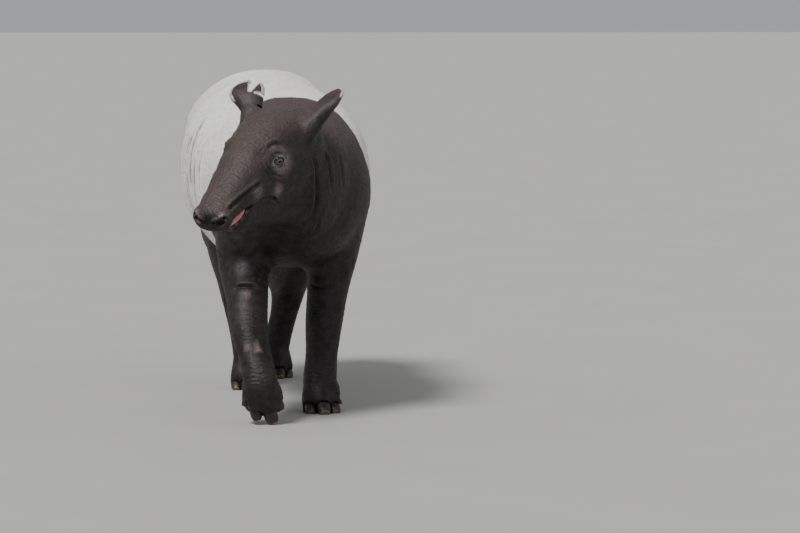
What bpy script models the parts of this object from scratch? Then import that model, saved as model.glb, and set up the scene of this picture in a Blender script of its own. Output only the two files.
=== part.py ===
"""Malayan tapir, an adult walking with its head turned to its right, as a still, life-size model.

Metres, +Z up. The animal faces -Y and its left side is +X. The floor is z = 0, and the whole is moved at the
end so that the middle of its base is the origin. The body is modelled whole, from lofted masses that a voxel
remesh joins, and is then parted into its named pieces with thin cuts.
"""

import math
from collections import namedtuple

import bmesh
import bpy
import numpy as np
from mathutils import Matrix, Vector

# Driving dimensions
RUMP_HEIGHT = 1.03
HEAD_LENGTH = 0.452
EYE_RADIUS = 0.0145
GAP = 0.0003
SCRAP_VOLUME = 2e-6
LEFT = 1
RIGHT = -1

# How the head is carried, with the poll as its pivot
POLL = Vector((-0.057, -0.690, 0.905))
HEAD_YAW = math.radians(-38)
HEAD_PITCH = math.radians(35)
HEAD_ROLL = math.radians(8)

# Surface detail
RING_SIDES = 40
COARSE_VOXEL = 0.010
COARSE_EASE = 12
FINE_VOXEL = 0.005
FINE_EASE = 4
BODY_TRIANGLES = 5400
HEAD_TRIANGLES = 3000

# A ring of a loft: its centre, its half width across, and how far it reaches up and down from the centre
Ring = namedtuple("Ring", "centre half_width up down")
UPWARDS = Vector((0, 0, 1))
FORWARDS = Vector((0, -1, 0))
BACKWARDS = Vector((0, 1, 0))


def clear_scene():
    for item in list(bpy.data.objects):
        bpy.data.objects.remove(item, do_unlink=True)


def new_object(name, mesh):
    made = bpy.data.objects.new(name, mesh)
    bpy.context.scene.collection.objects.link(made)
    return made


def remove(*objects):
    for item in objects:
        bpy.data.objects.remove(item, do_unlink=True)


def object_from(shape, name, matrix=None):
    """An object from a bmesh, which is freed, with its place in its mesh."""
    bmesh.ops.recalc_face_normals(shape, faces=shape.faces[:])
    mesh = bpy.data.meshes.new(name)
    shape.to_mesh(mesh)
    shape.free()
    if matrix:
        mesh.transform(matrix)
    return new_object(name, mesh)


# Lofts and simple shapes


def smooth_between(values, share):
    """The values' Catmull-Rom curve at share, counted in steps from the first value."""
    last = len(values) - 1
    step = min(int(share), last - 1)
    t = share - step
    a, b, c, d = (values[min(max(step + k, 0), last)] for k in (-1, 0, 1, 2))
    return 0.5 * (2 * b + (c - a) * t + (2 * a - 5 * b + 4 * c - d) * t**2 + (3 * b - 3 * c + d - a) * t**3)


def loft(name, rings, rise=UPWARDS, facing=None, squareness=2.3, steps=6, sides=RING_SIDES, matrix=None):
    """A closed tube through the rings. Each stands square to facing, or to the path, its up towards rise."""
    count = (len(rings) - 1) * steps + 1
    centres = [Vector(ring.centre) for ring in rings]
    path = [smooth_between(centres, i / steps) for i in range(count)]
    shape = bmesh.new()
    loops = []
    for i, centre in enumerate(path):
        tangent = Vector(facing) if facing else path[min(i + 1, count - 1)] - path[max(i - 1, 0)]
        tangent.normalize()
        upward = (rise - tangent * tangent.dot(rise)).normalized()
        across = upward.cross(tangent)
        width, up, down = (
            smooth_between([getattr(ring, size) for ring in rings], i / steps)
            for size in ("half_width", "up", "down")
        )
        loop = []
        for k in range(sides):
            turn = 2 * math.pi * k / sides
            x = math.copysign(abs(math.cos(turn)) ** (2 / squareness), math.cos(turn))
            z = math.copysign(abs(math.sin(turn)) ** (2 / squareness), math.sin(turn))
            reach = up if z > 0 else down
            loop.append(shape.verts.new(centre + across * x * width + upward * z * reach))
        loops.append(loop)
    for first, second in zip(loops, loops[1:]):
        for k in range(sides):
            n = (k + 1) % sides
            shape.faces.new((first[k], first[n], second[n], second[k]))
    shape.faces.new(loops[0])
    shape.faces.new(loops[-1])
    return object_from(shape, name, matrix)


def ball(name, radii, matrix, segments=18, rings=12):
    shape = bmesh.new()
    bmesh.ops.create_uvsphere(shape, u_segments=segments, v_segments=rings, radius=1.0)
    bmesh.ops.scale(shape, vec=Vector(radii), verts=shape.verts[:])
    return object_from(shape, name, matrix)


def box(name, low, high, matrix):
    """A block between two corners."""
    shape = bmesh.new()
    bmesh.ops.create_cube(shape, size=1.0)
    low = Vector(low)
    high = Vector(high)
    bmesh.ops.scale(shape, vec=high - low, verts=shape.verts[:])
    bmesh.ops.translate(shape, vec=(low + high) / 2, verts=shape.verts[:])
    return object_from(shape, name, matrix)


# Cutting and joining with Booleans


def applied(item):
    graph = bpy.context.evaluated_depsgraph_get()
    mesh = bpy.data.meshes.new_from_object(item.evaluated_get(graph), depsgraph=graph)
    item.modifiers.clear()
    item.data = mesh
    return item


def boolean(item, operation, others):
    """Joins the other objects to the item, or cuts them from it, and removes them."""
    group = bpy.data.collections.new("others")
    bpy.context.scene.collection.children.link(group)
    for other in others:
        group.objects.link(other)
    step = item.modifiers.new("boolean", "BOOLEAN")
    step.operation = operation
    step.operand_type = "COLLECTION"
    step.collection = group
    step.solver = "EXACT"
    applied(item)
    remove(*others)
    bpy.data.collections.remove(group)
    return item


def islands(item):
    """The separate closed surfaces of the item, as lists of its faces."""
    shape = bmesh.new()
    shape.from_mesh(item.data)
    seen = set()
    groups = []
    for start in shape.faces:
        if start in seen:
            continue
        seen.add(start)
        group = [start]
        for face in group:
            for edge in face.edges:
                for other in edge.link_faces:
                    if other not in seen:
                        seen.add(other)
                        group.append(other)
        groups.append(group)
    return shape, groups


def parted(item):
    """A new object for each separate piece of the item, which is removed."""
    shape, groups = islands(item)
    pieces = []
    for group in groups:
        part = bmesh.new()
        corner = {}
        for face in group:
            for vert in face.verts:
                if vert not in corner:
                    corner[vert] = part.verts.new(vert.co)
            part.faces.new([corner[vert] for vert in face.verts])
        if abs(part.calc_volume()) < SCRAP_VOLUME:
            part.free()
            continue
        mesh = bpy.data.meshes.new("piece")
        part.to_mesh(mesh)
        part.free()
        pieces.append(new_object("piece", mesh))
    shape.free()
    remove(item)
    return pieces


def kept_largest(item):
    """The item without the scraps that a cut left beside its main surface."""
    name = item.name
    pieces = sorted(parted(item), key=lambda piece: len(piece.data.polygons))
    remove(*pieces[:-1])
    pieces[-1].name = name
    return pieces[-1]


# The masses of the body


def trunk():
    """Chest, barrel and rump. The back is highest over the loins, the barrel widest behind the ribs."""
    middle = 0.715
    rings = [
        Ring((0.004, 0.672, 0.725), 0.050, 0.070, 0.080),
        Ring((0.004, 0.640, 0.725), 0.135, 0.150, 0.150),
        Ring((0.000, 0.560, 0.718), 0.205, 0.225, 0.200),
        Ring((-0.004, 0.440, middle), 0.246, 0.280, 0.235),
        Ring((-0.006, 0.280, middle), 0.270, RUMP_HEIGHT - middle, 0.262),
        Ring((-0.004, 0.100, middle), 0.285, 0.300, 0.290),
        Ring((0.002, -0.080, middle), 0.280, 0.277, 0.292),
        Ring((0.010, -0.240, 0.705), 0.258, 0.262, 0.272),
        Ring((0.018, -0.370, 0.695), 0.228, 0.252, 0.255),
        Ring((0.022, -0.480, 0.680), 0.188, 0.228, 0.225),
        Ring((0.020, -0.560, 0.670), 0.130, 0.165, 0.165),
        Ring((0.018, -0.600, 0.660), 0.050, 0.070, 0.070),
    ]
    return loft("trunk", rings, facing=FORWARDS)


def neck():
    rings = [
        Ring((0.018, -0.280, 0.710), 0.205, 0.232, 0.215),
        Ring((0.018, -0.420, 0.722), 0.188, 0.212, 0.222),
        Ring((0.012, -0.530, 0.738), 0.154, 0.180, 0.206),
        Ring((-0.023, -0.625, 0.758), 0.109, 0.146, 0.166),
        Ring((-0.070, -0.690, 0.775), 0.072, 0.096, 0.104),
    ]
    return loft("neck_mass", rings)


def tail_mass():
    rings = [
        Ring((0.002, 0.600, 0.845), 0.044, 0.034, 0.034),
        Ring((0.002, 0.675, 0.832), 0.032, 0.027, 0.027),
        Ring((0.003, 0.713, 0.795), 0.023, 0.020, 0.020),
        Ring((0.004, 0.722, 0.740), 0.011, 0.010, 0.010),
    ]
    return loft("tail_mass", rings)


# The head


def head_frame():
    """From the head's own axes to the body's: x left, y from nose to poll, z up, the poll at zero."""
    yaw = Matrix.Rotation(HEAD_YAW, 4, "Z")
    pitch = Matrix.Rotation(HEAD_PITCH, 4, "X")
    roll = Matrix.Rotation(HEAD_ROLL, 4, "Y")
    return Matrix.Translation(POLL) @ yaw @ pitch @ roll


def head_ring(along, top, bottom, half_width):
    middle = (top + bottom) / 2
    return Ring((0, -along, middle), half_width, top - middle, middle - bottom)


def head_masses():
    """Skull with its proboscis, and the lower jaw under it. Each ring is so far along from the poll."""
    skull = [
        head_ring(-0.095, -0.030, -0.190, 0.070),
        head_ring(-0.050, 0.008, -0.240, 0.110),
        head_ring(0.000, 0.030, -0.262, 0.120),
        head_ring(0.070, 0.052, -0.255, 0.118),
        head_ring(0.140, 0.054, -0.235, 0.107),
        head_ring(0.210, 0.046, -0.185, 0.092),
        head_ring(0.275, 0.030, -0.126, 0.075),
        head_ring(0.340, 0.016, -0.085, 0.061),
        head_ring(0.400, 0.006, -0.080, 0.057),
        head_ring(0.435, -0.004, -0.080, 0.058),
        head_ring(HEAD_LENGTH, -0.020, -0.072, 0.046),
    ]
    jaw = [
        head_ring(-0.085, -0.100, -0.230, 0.088),
        head_ring(-0.030, -0.110, -0.283, 0.108),
        head_ring(0.060, -0.130, -0.302, 0.105),
        head_ring(0.130, -0.130, -0.285, 0.094),
        head_ring(0.200, -0.110, -0.245, 0.075),
        head_ring(0.270, -0.090, -0.195, 0.055),
        head_ring(0.335, -0.080, -0.155, 0.045),
        head_ring(0.372, -0.085, -0.135, 0.030),
    ]
    return [
        loft("skull", skull, facing=FORWARDS, matrix=head_frame()),
        loft("jaw", jaw, facing=FORWARDS, matrix=head_frame()),
    ]


# The eye's middle in the head's axes, the way it looks, the run of its slit, and the slit between its lids
EYE_LEFT = 0.082
EYE_ALONG = 0.163
EYE_UP = -0.018
EYE_LOOK = Vector((0.93, -0.34, 0.10))
EYE_SLIT_RUN = Vector((0, -1, 0.25))
LID_THICKNESS = 0.0036
LID_SLIT_HALF = 0.0128
LID_SLIT_UP = 0.0092
LID_SLIT_DOWN = 0.0078
LID_SLIT_FLARE = 1.3
LID_MOUND = (0.032, 0.026, 0.0165)
EYE_SEGMENTS = (16, 10)


def eye_frame(side):
    """From the eye's own axes to the body's: z the way it looks, x along its slit."""
    look = Vector((side * EYE_LOOK.x, EYE_LOOK.y, EYE_LOOK.z)).normalized()
    along = (EYE_SLIT_RUN - look * EYE_SLIT_RUN.dot(look)).normalized()
    above = look.cross(along)
    if above.z < 0:
        along = -along
        above = -above
    turn = Matrix((along, above, look)).transposed().to_4x4()
    return head_frame() @ Matrix.Translation((side * EYE_LEFT, -EYE_ALONG, EYE_UP)) @ turn


def lid_mound(side):
    """The soft swelling of the face round the lids."""
    return ball("mound", LID_MOUND, eye_frame(side))


def lid_ball(side):
    radius = EYE_RADIUS + GAP + LID_THICKNESS
    return ball("lids", (radius,) * 3, eye_frame(side), *EYE_SEGMENTS)


def eye_cuts(side):
    """The socket round the eye, and the almond slit between the lids."""
    socket = ball("socket", (EYE_RADIUS + GAP,) * 3, eye_frame(side), *EYE_SEGMENTS)
    sizes = (LID_SLIT_HALF, LID_SLIT_UP, LID_SLIT_DOWN)
    slit = loft("slit", [
        Ring((0, 0, EYE_RADIUS * 0.3), *sizes),
        Ring((0, 0, EYE_RADIUS * 3.0), *(size * LID_SLIT_FLARE for size in sizes)),
    ], rise=BACKWARDS, facing=UPWARDS, squareness=1.55, steps=1, sides=16, matrix=eye_frame(side))
    return [socket, slit]


def eye(side, name):
    return ball(name, (EYE_RADIUS,) * 3, eye_frame(side), *EYE_SEGMENTS)


# The open mouth in sections along the head: its height, half its opening, and the tongue's half width there
MouthSection = namedtuple("MouthSection", "along up half_opening tongue")
MOUTH_HALF_WIDTH = 0.090
MOUTH_SECTIONS = [
    MouthSection(0.258, -0.070, 0.0006, None),
    MouthSection(0.296, -0.080, 0.0024, None),
    MouthSection(0.310, -0.083, 0.0056, 0.034),
    MouthSection(0.330, -0.086, 0.0080, 0.038),
    MouthSection(0.350, -0.089, 0.0094, 0.033),
    MouthSection(0.370, -0.091, 0.0104, 0.018),
    MouthSection(0.410, -0.096, 0.0180, None),
]
TONGUE_CLEARANCE = 0.0014


def mouth_cut(name):
    """The space between the lips, which narrows to its corner in each cheek."""
    rings = [
        Ring((0, -cut.along, cut.up), MOUTH_HALF_WIDTH, cut.half_opening, cut.half_opening)
        for cut in MOUTH_SECTIONS
    ]
    return loft(name, rings, squareness=6, steps=2, sides=12, matrix=head_frame())


def tongue(name):
    """The tongue lies flat between the lips."""
    rings = []
    for cut in MOUTH_SECTIONS:
        if cut.tongue:
            thick = cut.half_opening - TONGUE_CLEARANCE
            rings.append(Ring((0, -cut.along, cut.up), cut.tongue, thick, thick))
    return loft(name, rings, squareness=2.6, steps=2, sides=12, matrix=head_frame())


# A nostril opens on the front of the proboscis as a slit that rises outwards
NOSTRIL_LEFT = 0.036
NOSTRIL_UP = -0.038
NOSTRIL_SINK = 0.002
NOSTRIL_RISE = math.radians(18)
NOSTRIL_TURN = math.radians(28)
NOSTRIL_SIZE = (0.0175, 0.0130, 0.0075)


def nostril_cut(side):
    place = Matrix.Translation((side * NOSTRIL_LEFT, NOSTRIL_SINK - HEAD_LENGTH, NOSTRIL_UP))
    turn = Matrix.Rotation(-side * NOSTRIL_RISE, 4, "Y") @ Matrix.Rotation(side * NOSTRIL_TURN, 4, "Z")
    return ball("nostril", NOSTRIL_SIZE, head_frame() @ place @ turn, 12, 6)


# The foot of each ear on the head, its length, where its blade begins, and how far each ear leans out
EAR_LEFT = 0.098
EAR_ALONG = -0.020
EAR_UP = -0.026
EAR_LENGTH = 0.142
EAR_CUT = 0.022
EAR_WALL = 0.0045
EAR_LEAN = {LEFT: 0.37, RIGHT: 0.56}
EAR_BACK = 0.48
EAR_RISE = 0.80
CUP_OUT = 0.50
CUP_BACK = 0.85


def ear_frame(side):
    """From the ear's own axes to the body's: z to its tip, y out of its cup. The ears are laid back."""
    upright = Matrix.Rotation(HEAD_YAW, 4, "Z") @ Matrix.Rotation(HEAD_ROLL, 4, "Y")
    to_tip = (upright @ Vector((side * EAR_LEAN[side], EAR_BACK, EAR_RISE))).normalized()
    cup = upright @ Vector((side * CUP_OUT, CUP_BACK, 0.0))
    cup = (cup - to_tip * cup.dot(to_tip)).normalized()
    across = cup.cross(to_tip)
    turn = Matrix((across, cup, to_tip)).transposed().to_4x4()
    foot = head_frame() @ Vector((side * EAR_LEFT, -EAR_ALONG, EAR_UP))
    return Matrix.Translation(foot) @ turn


def ear_ring(height, half_width, front, back, across=0.0):
    return Ring((across, 0, height), half_width, front, back)


def ear_root(side, top=EAR_CUT):
    """The fleshy foot of the ear, which ends flat where the ear begins."""
    rings = [
        ear_ring(-0.050, 0.043, 0.038, 0.038),
        ear_ring(-0.015, 0.040, 0.034, 0.034),
        ear_ring(top, 0.033, 0.026, 0.028),
    ]
    return loft("ear_root", rings, rise=BACKWARDS, facing=UPWARDS, sides=16, steps=2, matrix=ear_frame(side))


# Each ear's blade from foot to tip: height, half width, how far it reaches out of its cup and back, and where
# its middle lies across. The right ear is spread wider.
EAR_BLADE = {
    LEFT: [
        (EAR_CUT + GAP, 0.0330, 0.026, 0.028, 0.0),
        (0.045, 0.0370, 0.021, 0.028, 0.0),
        (0.070, 0.0420, 0.014, 0.026, 0.0),
        (0.096, 0.0410, 0.010, 0.021, 0.0),
        (0.118, 0.0320, 0.008, 0.015, 0.0),
        (0.133, 0.0200, 0.006, 0.009, 0.0),
        (EAR_LENGTH, 0.0080, 0.003, 0.004, 0.0),
    ],
    RIGHT: [
        (EAR_CUT + GAP, 0.0330, 0.026, 0.028, 0.0),
        (0.043, 0.0390, 0.021, 0.028, -0.003),
        (0.065, 0.0490, 0.014, 0.028, -0.006),
        (0.087, 0.0530, 0.010, 0.025, -0.007),
        (0.106, 0.0475, 0.008, 0.018, -0.005),
        (0.119, 0.0330, 0.006, 0.011, -0.002),
        (EAR_LENGTH - 0.015, 0.0130, 0.003, 0.004, 0.0),
    ],
}
EAR_CUP_OPEN = 0.050
EAR_CUP_FOOT = [(0.038, 0.008, 0.006), (0.050, 0.024, 0.018)]
EAR_CUP_TIP = (0.016, 0.006)
EAR_CUP_END = 0.010

# The tears in the right ear: where each starts across and up the blade, its half width, its slope in degrees
EAR_TEARS = [(0.004, 0.073, 0.0078, 69), (0.020, 0.066, 0.0036, -15)]
TEAR_REACH = 0.060


def ear_blade(side, name, grow=0.0):
    """The ear without its cup. Grown a little, it is the cutter for the room it needs beside the neck."""
    rings = [
        ear_ring(height, *(size + grow for size in sizes), across)
        for height, *sizes, across in EAR_BLADE[side]
    ]
    return loft(name, rings, rise=BACKWARDS, facing=UPWARDS, sides=18, steps=1)


def room_for_ears(neck_piece):
    rooms = [ear_blade(side, "room", grow=2 * GAP) for side in (LEFT, RIGHT)]
    for room, side in zip(rooms, (LEFT, RIGHT)):
        room.data.transform(ear_frame(side))
    return kept_largest(boolean(neck_piece, "DIFFERENCE", rooms))


def ear(side, name):
    """A leaf-shaped cup that opens backwards. The right one has two old tears in its inner rim."""
    made = ear_blade(side, name)
    rings = [ear_ring(height, half_width, EAR_CUP_OPEN, back) for height, half_width, back in EAR_CUP_FOOT]
    for height, half_width, _, back, across in EAR_BLADE[side][2:5]:
        rings.append(ear_ring(height, half_width - EAR_WALL, EAR_CUP_OPEN, back - EAR_WALL, across))
    half_width, back = EAR_CUP_TIP
    tip = EAR_BLADE[side][-1][0]
    rings.append(ear_ring(tip - EAR_CUP_END, half_width, EAR_CUP_OPEN, back))
    cuts = [loft("ear_hollow", rings, rise=BACKWARDS, facing=UPWARDS, sides=14, steps=1)]
    if side == RIGHT:
        cuts.extend(ear_tear(*tear) for tear in EAR_TEARS)
    boolean(made, "DIFFERENCE", cuts)
    made = kept_largest(made)
    made.data.transform(ear_frame(side))
    return made


def ear_tear(across, height, half_width, slope):
    """A slot that starts in the ear's blade and widens on its way out to the rim, at so many degrees up."""
    place = Matrix.Translation((across, 0, height)) @ Matrix.Rotation(math.radians(-slope), 4, "Y")
    return loft("tear", [
        Ring((0, 0, 0), EAR_CUP_OPEN, half_width * 0.5, half_width * 0.5),
        Ring((TEAR_REACH, 0, 0), EAR_CUP_OPEN, half_width * 2.5, half_width * 2.5),
    ], rise=UPWARDS, squareness=8, steps=1, sides=12, matrix=place)


# The legs and feet

# Joints of each leg from the trunk down, and how its foot stands: how far its toes point down, turn out
# and lean out
Leg = namedtuple("Leg", "name side fore joints toes_down toes_out lean_out")
LEFT_FORE_JOINTS = [(0.105, -0.290, 0.810), (0.140, -0.365, 0.640), (0.142, -0.320, 0.480),
                    (0.115, -0.345, 0.265), (0.101, -0.350, 0.085)]
RIGHT_FORE_JOINTS = [(-0.085, -0.320, 0.810), (-0.120, -0.425, 0.640), (-0.132, -0.430, 0.460),
                     (-0.132, -0.605, 0.270), (-0.106, -0.700, 0.128)]
LEFT_HIND_JOINTS = [(0.110, 0.420, 0.820), (0.126, 0.410, 0.690), (0.120, 0.350, 0.520),
                    (0.098, 0.620, 0.290), (0.052, 0.660, 0.085)]
RIGHT_HIND_JOINTS = [(-0.110, 0.400, 0.820), (-0.126, 0.370, 0.690), (-0.122, 0.225, 0.510),
                     (-0.095, 0.360, 0.295), (-0.066, 0.310, 0.085)]
LEGS = [
    Leg("left", LEFT, True, LEFT_FORE_JOINTS, 0, 4, 0),
    Leg("right", RIGHT, True, RIGHT_FORE_JOINTS, 60, -16, -20),
    Leg("left", LEFT, False, LEFT_HIND_JOINTS, 0, 6, 0),
    Leg("right", RIGHT, False, RIGHT_HIND_JOINTS, 0, 6, 0),
]

# A toe: its digit, how far out its root lies, how far it is turned out, its hoof's reach ahead, and its size
Toe = namedtuple("Toe", "digit offset spread reach size")
FORE_TOES = [
    Toe(2, -0.029, -8, 0.054, 0.98),
    Toe(3, 0.000, 0, 0.078, 1.15),
    Toe(4, 0.029, 8, 0.054, 0.98),
    Toe(5, 0.038, 42, 0.020, 0.66),
]
HIND_TOES = [
    Toe(2, -0.027, -8, 0.050, 0.92),
    Toe(3, 0.000, 0, 0.073, 1.10),
    Toe(4, 0.027, 8, 0.050, 0.92),
]
FOOT_HEIGHT = 0.085
OUTER_TOE_RISE = 0.022


def foreleg(scapula, shoulder, elbow, carpus, fetlock):
    """Shoulder, upper arm, forearm and cannon as one tube through the joints."""
    rings = [
        Ring(scapula, 0.050, 0.060, 0.080),
        Ring(scapula.lerp(shoulder, 0.5), 0.080, 0.100, 0.115),
        Ring(shoulder, 0.092, 0.125, 0.130),
        Ring(shoulder.lerp(elbow, 0.55), 0.092, 0.110, 0.125),
        Ring(elbow, 0.082, 0.084, 0.098),
        Ring(elbow.lerp(carpus, 0.45), 0.066, 0.066, 0.070),
        Ring(carpus, 0.058, 0.056, 0.057),
        Ring(carpus.lerp(fetlock, 0.5), 0.051, 0.048, 0.050),
        Ring(fetlock, 0.053, 0.048, 0.051),
    ]
    return loft("foreleg", rings, rise=FORWARDS, squareness=2.1)


def hindleg(pelvis, hip, stifle, hock, fetlock):
    """Haunch, thigh, shank, hock and cannon as one tube through the joints."""
    rings = [
        Ring(pelvis, 0.090, 0.120, 0.170),
        Ring(hip, 0.106, 0.190, 0.225),
        Ring(hip.lerp(stifle, 0.55), 0.102, 0.165, 0.225),
        Ring(stifle, 0.090, 0.115, 0.195),
        Ring(stifle.lerp(hock, 0.35), 0.080, 0.090, 0.135),
        Ring(stifle.lerp(hock, 0.70), 0.064, 0.068, 0.092),
        Ring(hock, 0.054, 0.052, 0.070),
        Ring(hock.lerp(fetlock, 0.5), 0.045, 0.044, 0.050),
        Ring(fetlock, 0.046, 0.045, 0.050),
    ]
    return loft("hindleg", rings, rise=FORWARDS, squareness=2.1)


def joints_of(leg):
    return [Vector(joint) for joint in leg.joints]


def foot_frame(leg):
    """From the foot's own axes to the body's: -y towards the toes, z up the leg, the sole at z = 0."""
    fetlock = joints_of(leg)[-1]
    lean = Matrix.Rotation(math.radians(-leg.lean_out * leg.side), 4, "Y")
    out = Matrix.Rotation(math.radians(leg.toes_out * leg.side), 4, "Z")
    down = Matrix.Rotation(math.radians(leg.toes_down), 4, "X")
    return Matrix.Translation(fetlock) @ lean @ out @ down @ Matrix.Translation((0, 0, -FOOT_HEIGHT))


def toe_frame(leg, toe):
    rise = OUTER_TOE_RISE if toe.digit == 5 else 0
    spread = Matrix.Rotation(math.radians(toe.spread * leg.side), 4, "Z")
    return foot_frame(leg) @ Matrix.Translation((toe.offset * leg.side, 0, rise)) @ spread


def toes_of(leg):
    return FORE_TOES if leg.fore else HIND_TOES


def foot_masses(leg):
    """The pad under the fetlock, and a tapering mass of flesh out to each hoof."""
    made = [loft("pad", [
        Ring((0, 0.004, FOOT_HEIGHT + 0.030), 0.044, 0.040, 0.044),
        Ring((0, -0.002, FOOT_HEIGHT - 0.015), 0.051, 0.052, 0.048),
        Ring((0, -0.012, 0.035), 0.056, 0.058, 0.050),
        Ring((0, -0.014, -0.006), 0.053, 0.056, 0.048),
    ], rise=FORWARDS, matrix=foot_frame(leg))]
    for toe in toes_of(leg):
        size = toe.size
        made.append(loft("toe", [
            Ring((0, 0.000, 0.064), 0.024 * size, 0.026 * size, 0.024 * size),
            Ring((0, -0.5 * toe.reach, 0.050), 0.026 * size, 0.026 * size, 0.042 * size),
            Ring((0, -toe.reach + 0.002, 0.027), 0.0205 * size, 0.020 * size, 0.028 * size),
        ], matrix=toe_frame(leg, toe)))
    return made


# A hoof's axis runs forward and down. Each ring: how far ahead of the toe's reach, its height, and its sizes
HOOF_RINGS = [
    (-0.018, 0.0290, 0.0160, 0.0140, 0.0220),
    (-0.003, 0.0190, 0.0178, 0.0150, 0.0240),
    (0.012, 0.0090, 0.0165, 0.0130, 0.0220),
    (0.020, 0.0020, 0.0115, 0.0090, 0.0160),
]
HOOF_AXIS = Vector((0, -0.83, -0.56))


def hoof(name, leg, toe, grow=0.0):
    """The nail round a toe's tip, with a flat sole. Grown a little, it is the cutter for its own seat."""
    rings = []
    for ahead, height, half_width, up, down in HOOF_RINGS:
        centre = (0, -toe.reach - ahead * toe.size, height * toe.size)
        sizes = [size * toe.size + grow for size in (half_width, up, down)]
        rings.append(Ring(centre, *sizes))
    if grow:
        slope = HOOF_AXIS.normalized()
        first = Vector(rings[0].centre) - slope * grow
        rings[0] = Ring(first, rings[0].half_width, rings[0].up, rings[0].down)
    made = loft(name, rings, facing=HOOF_AXIS, squareness=2.4, steps=1, sides=14, matrix=toe_frame(leg, toe))
    if not grow:
        ground = box("ground", (-0.2, -0.3, -0.1), (0.2, 0.3, 0.0), toe_frame(leg, toe))
        boolean(made, "DIFFERENCE", [ground])
        boolean(made, "DIFFERENCE", [floor_box()])
    return made


def floor_box():
    return box("floor", (-2, -2, -0.5), (2, 2, 0), Matrix.Identity(4))


# Joining and shaping


def fused(name, masses, voxel, smoothing):
    """One closed surface round all the masses, its joins eased by smoothing."""
    shape = bmesh.new()
    for mass in masses:
        shape.from_mesh(mass.data)
    mesh = bpy.data.meshes.new(name)
    shape.to_mesh(mesh)
    shape.free()
    made = new_object(name, mesh)
    join = made.modifiers.new("join", "REMESH")
    join.mode = "VOXEL"
    join.voxel_size = voxel
    ease = made.modifiers.new("ease", "SMOOTH")
    ease.factor = 0.5
    ease.iterations = smoothing
    return applied(made)


def push(item, centre, radius, move):
    """Moves the flesh round a point, most at the point and dying away at about twice the radius."""
    mesh = item.data
    points = np.empty(len(mesh.vertices) * 3)
    mesh.vertices.foreach_get("co", points)
    points = points.reshape(-1, 3)
    share = np.exp(-((points - np.array(centre)) ** 2).sum(axis=1) / radius**2)
    mesh.vertices.foreach_set("co", (points + share[:, None] * np.array(move)).ravel())
    mesh.update()


# Hips, hollows and muscles that the lofts alone leave too plain: the middle of each, its radius and its move
BODY_FORMS = {
    "right hip": ((-0.225, 0.430, 0.890), 0.120, (-0.016, 0.004, 0.014)),
    "left hip": ((0.225, 0.430, 0.890), 0.120, (0.010, 0.004, 0.008)),
    "left loin": ((0.240, 0.120, 0.890), 0.180, (-0.027, 0.000, -0.016)),
    "left ribs": ((0.270, 0.100, 0.800), 0.140, (-0.012, 0.000, 0.000)),
    "groin": ((0.045, 0.500, 0.400), 0.080, (-0.034, 0.000, 0.000)),
    "left shank": ((0.050, 0.570, 0.320), 0.065, (-0.022, 0.000, 0.000)),
    "left flank": ((0.250, 0.180, 0.560), 0.100, (-0.014, 0.000, 0.004)),
    "right flank": ((-0.250, 0.060, 0.560), 0.100, (0.014, 0.000, 0.004)),
    "left shoulder point": ((0.225, -0.380, 0.640), 0.100, (0.012, -0.006, 0.000)),
    "right shoulder point": ((-0.195, -0.430, 0.640), 0.100, (-0.010, -0.006, 0.000)),
    "breastbone": ((0.018, -0.600, 0.560), 0.080, (0.000, -0.014, 0.000)),
    "left hock": ((0.075, 0.690, 0.315), 0.045, (-0.014, 0.020, 0.008)),
    "right hock": ((-0.085, 0.430, 0.320), 0.045, (0.010, 0.020, 0.008)),
}

# The same on each side of the head, with each middle so far out, along and up
HEAD_FORMS = {
    "brow": ((0.082, 0.160, 0.010), 0.024, (0.005, 0.000, 0.005)),
    "hollow below the eye": ((0.090, 0.205, -0.045), 0.026, (-0.008, 0.000, 0.000)),
    "temple": ((0.108, 0.090, -0.010), 0.040, (-0.005, 0.000, 0.000)),
    "jaw muscle": ((0.104, 0.030, -0.190), 0.080, (0.006, 0.000, 0.000)),
    "wing of the nostril": ((0.062, 0.430, -0.040), 0.018, (0.005, 0.000, 0.000)),
    "upper lip": ((0.050, 0.290, -0.058), 0.016, (0.005, 0.000, -0.002)),
    "lower lip": ((0.046, 0.300, -0.098), 0.016, (0.003, 0.000, -0.002)),
    "side of the proboscis": ((0.062, 0.350, -0.010), 0.030, (-0.003, 0.000, 0.000)),
}
PHILTRUM = ((0, HEAD_LENGTH, -0.030), 0.009, (0, -0.006, 0))


def shape_body(body):
    for centre, radius, move in BODY_FORMS.values():
        push(body, centre, radius, move)


def shape_head(body):
    for (out, along, up), radius, (outward, forward, upward) in HEAD_FORMS.values():
        for side in (LEFT, RIGHT):
            push_on_head(body, (side * out, along, up), radius, (side * outward, forward, upward))
    push_on_head(body, *PHILTRUM)


def push_on_head(body, place, radius, move):
    left, along, up = place
    frame = head_frame()
    turned = frame.to_3x3() @ Vector((move[0], -move[1], move[2]))
    push(body, frame @ Vector((left, -along, up)), radius, turned)


def thin_out(item, triangles):
    """Fewer, larger triangles, kept small where the form turns sharply."""
    mesh = item.data
    mesh.calc_loop_triangles()
    decimate = item.modifiers.new("thin", "DECIMATE")
    decimate.ratio = triangles / len(mesh.loop_triangles)
    decimate.use_collapse_triangulate = True
    return applied(item)


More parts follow.
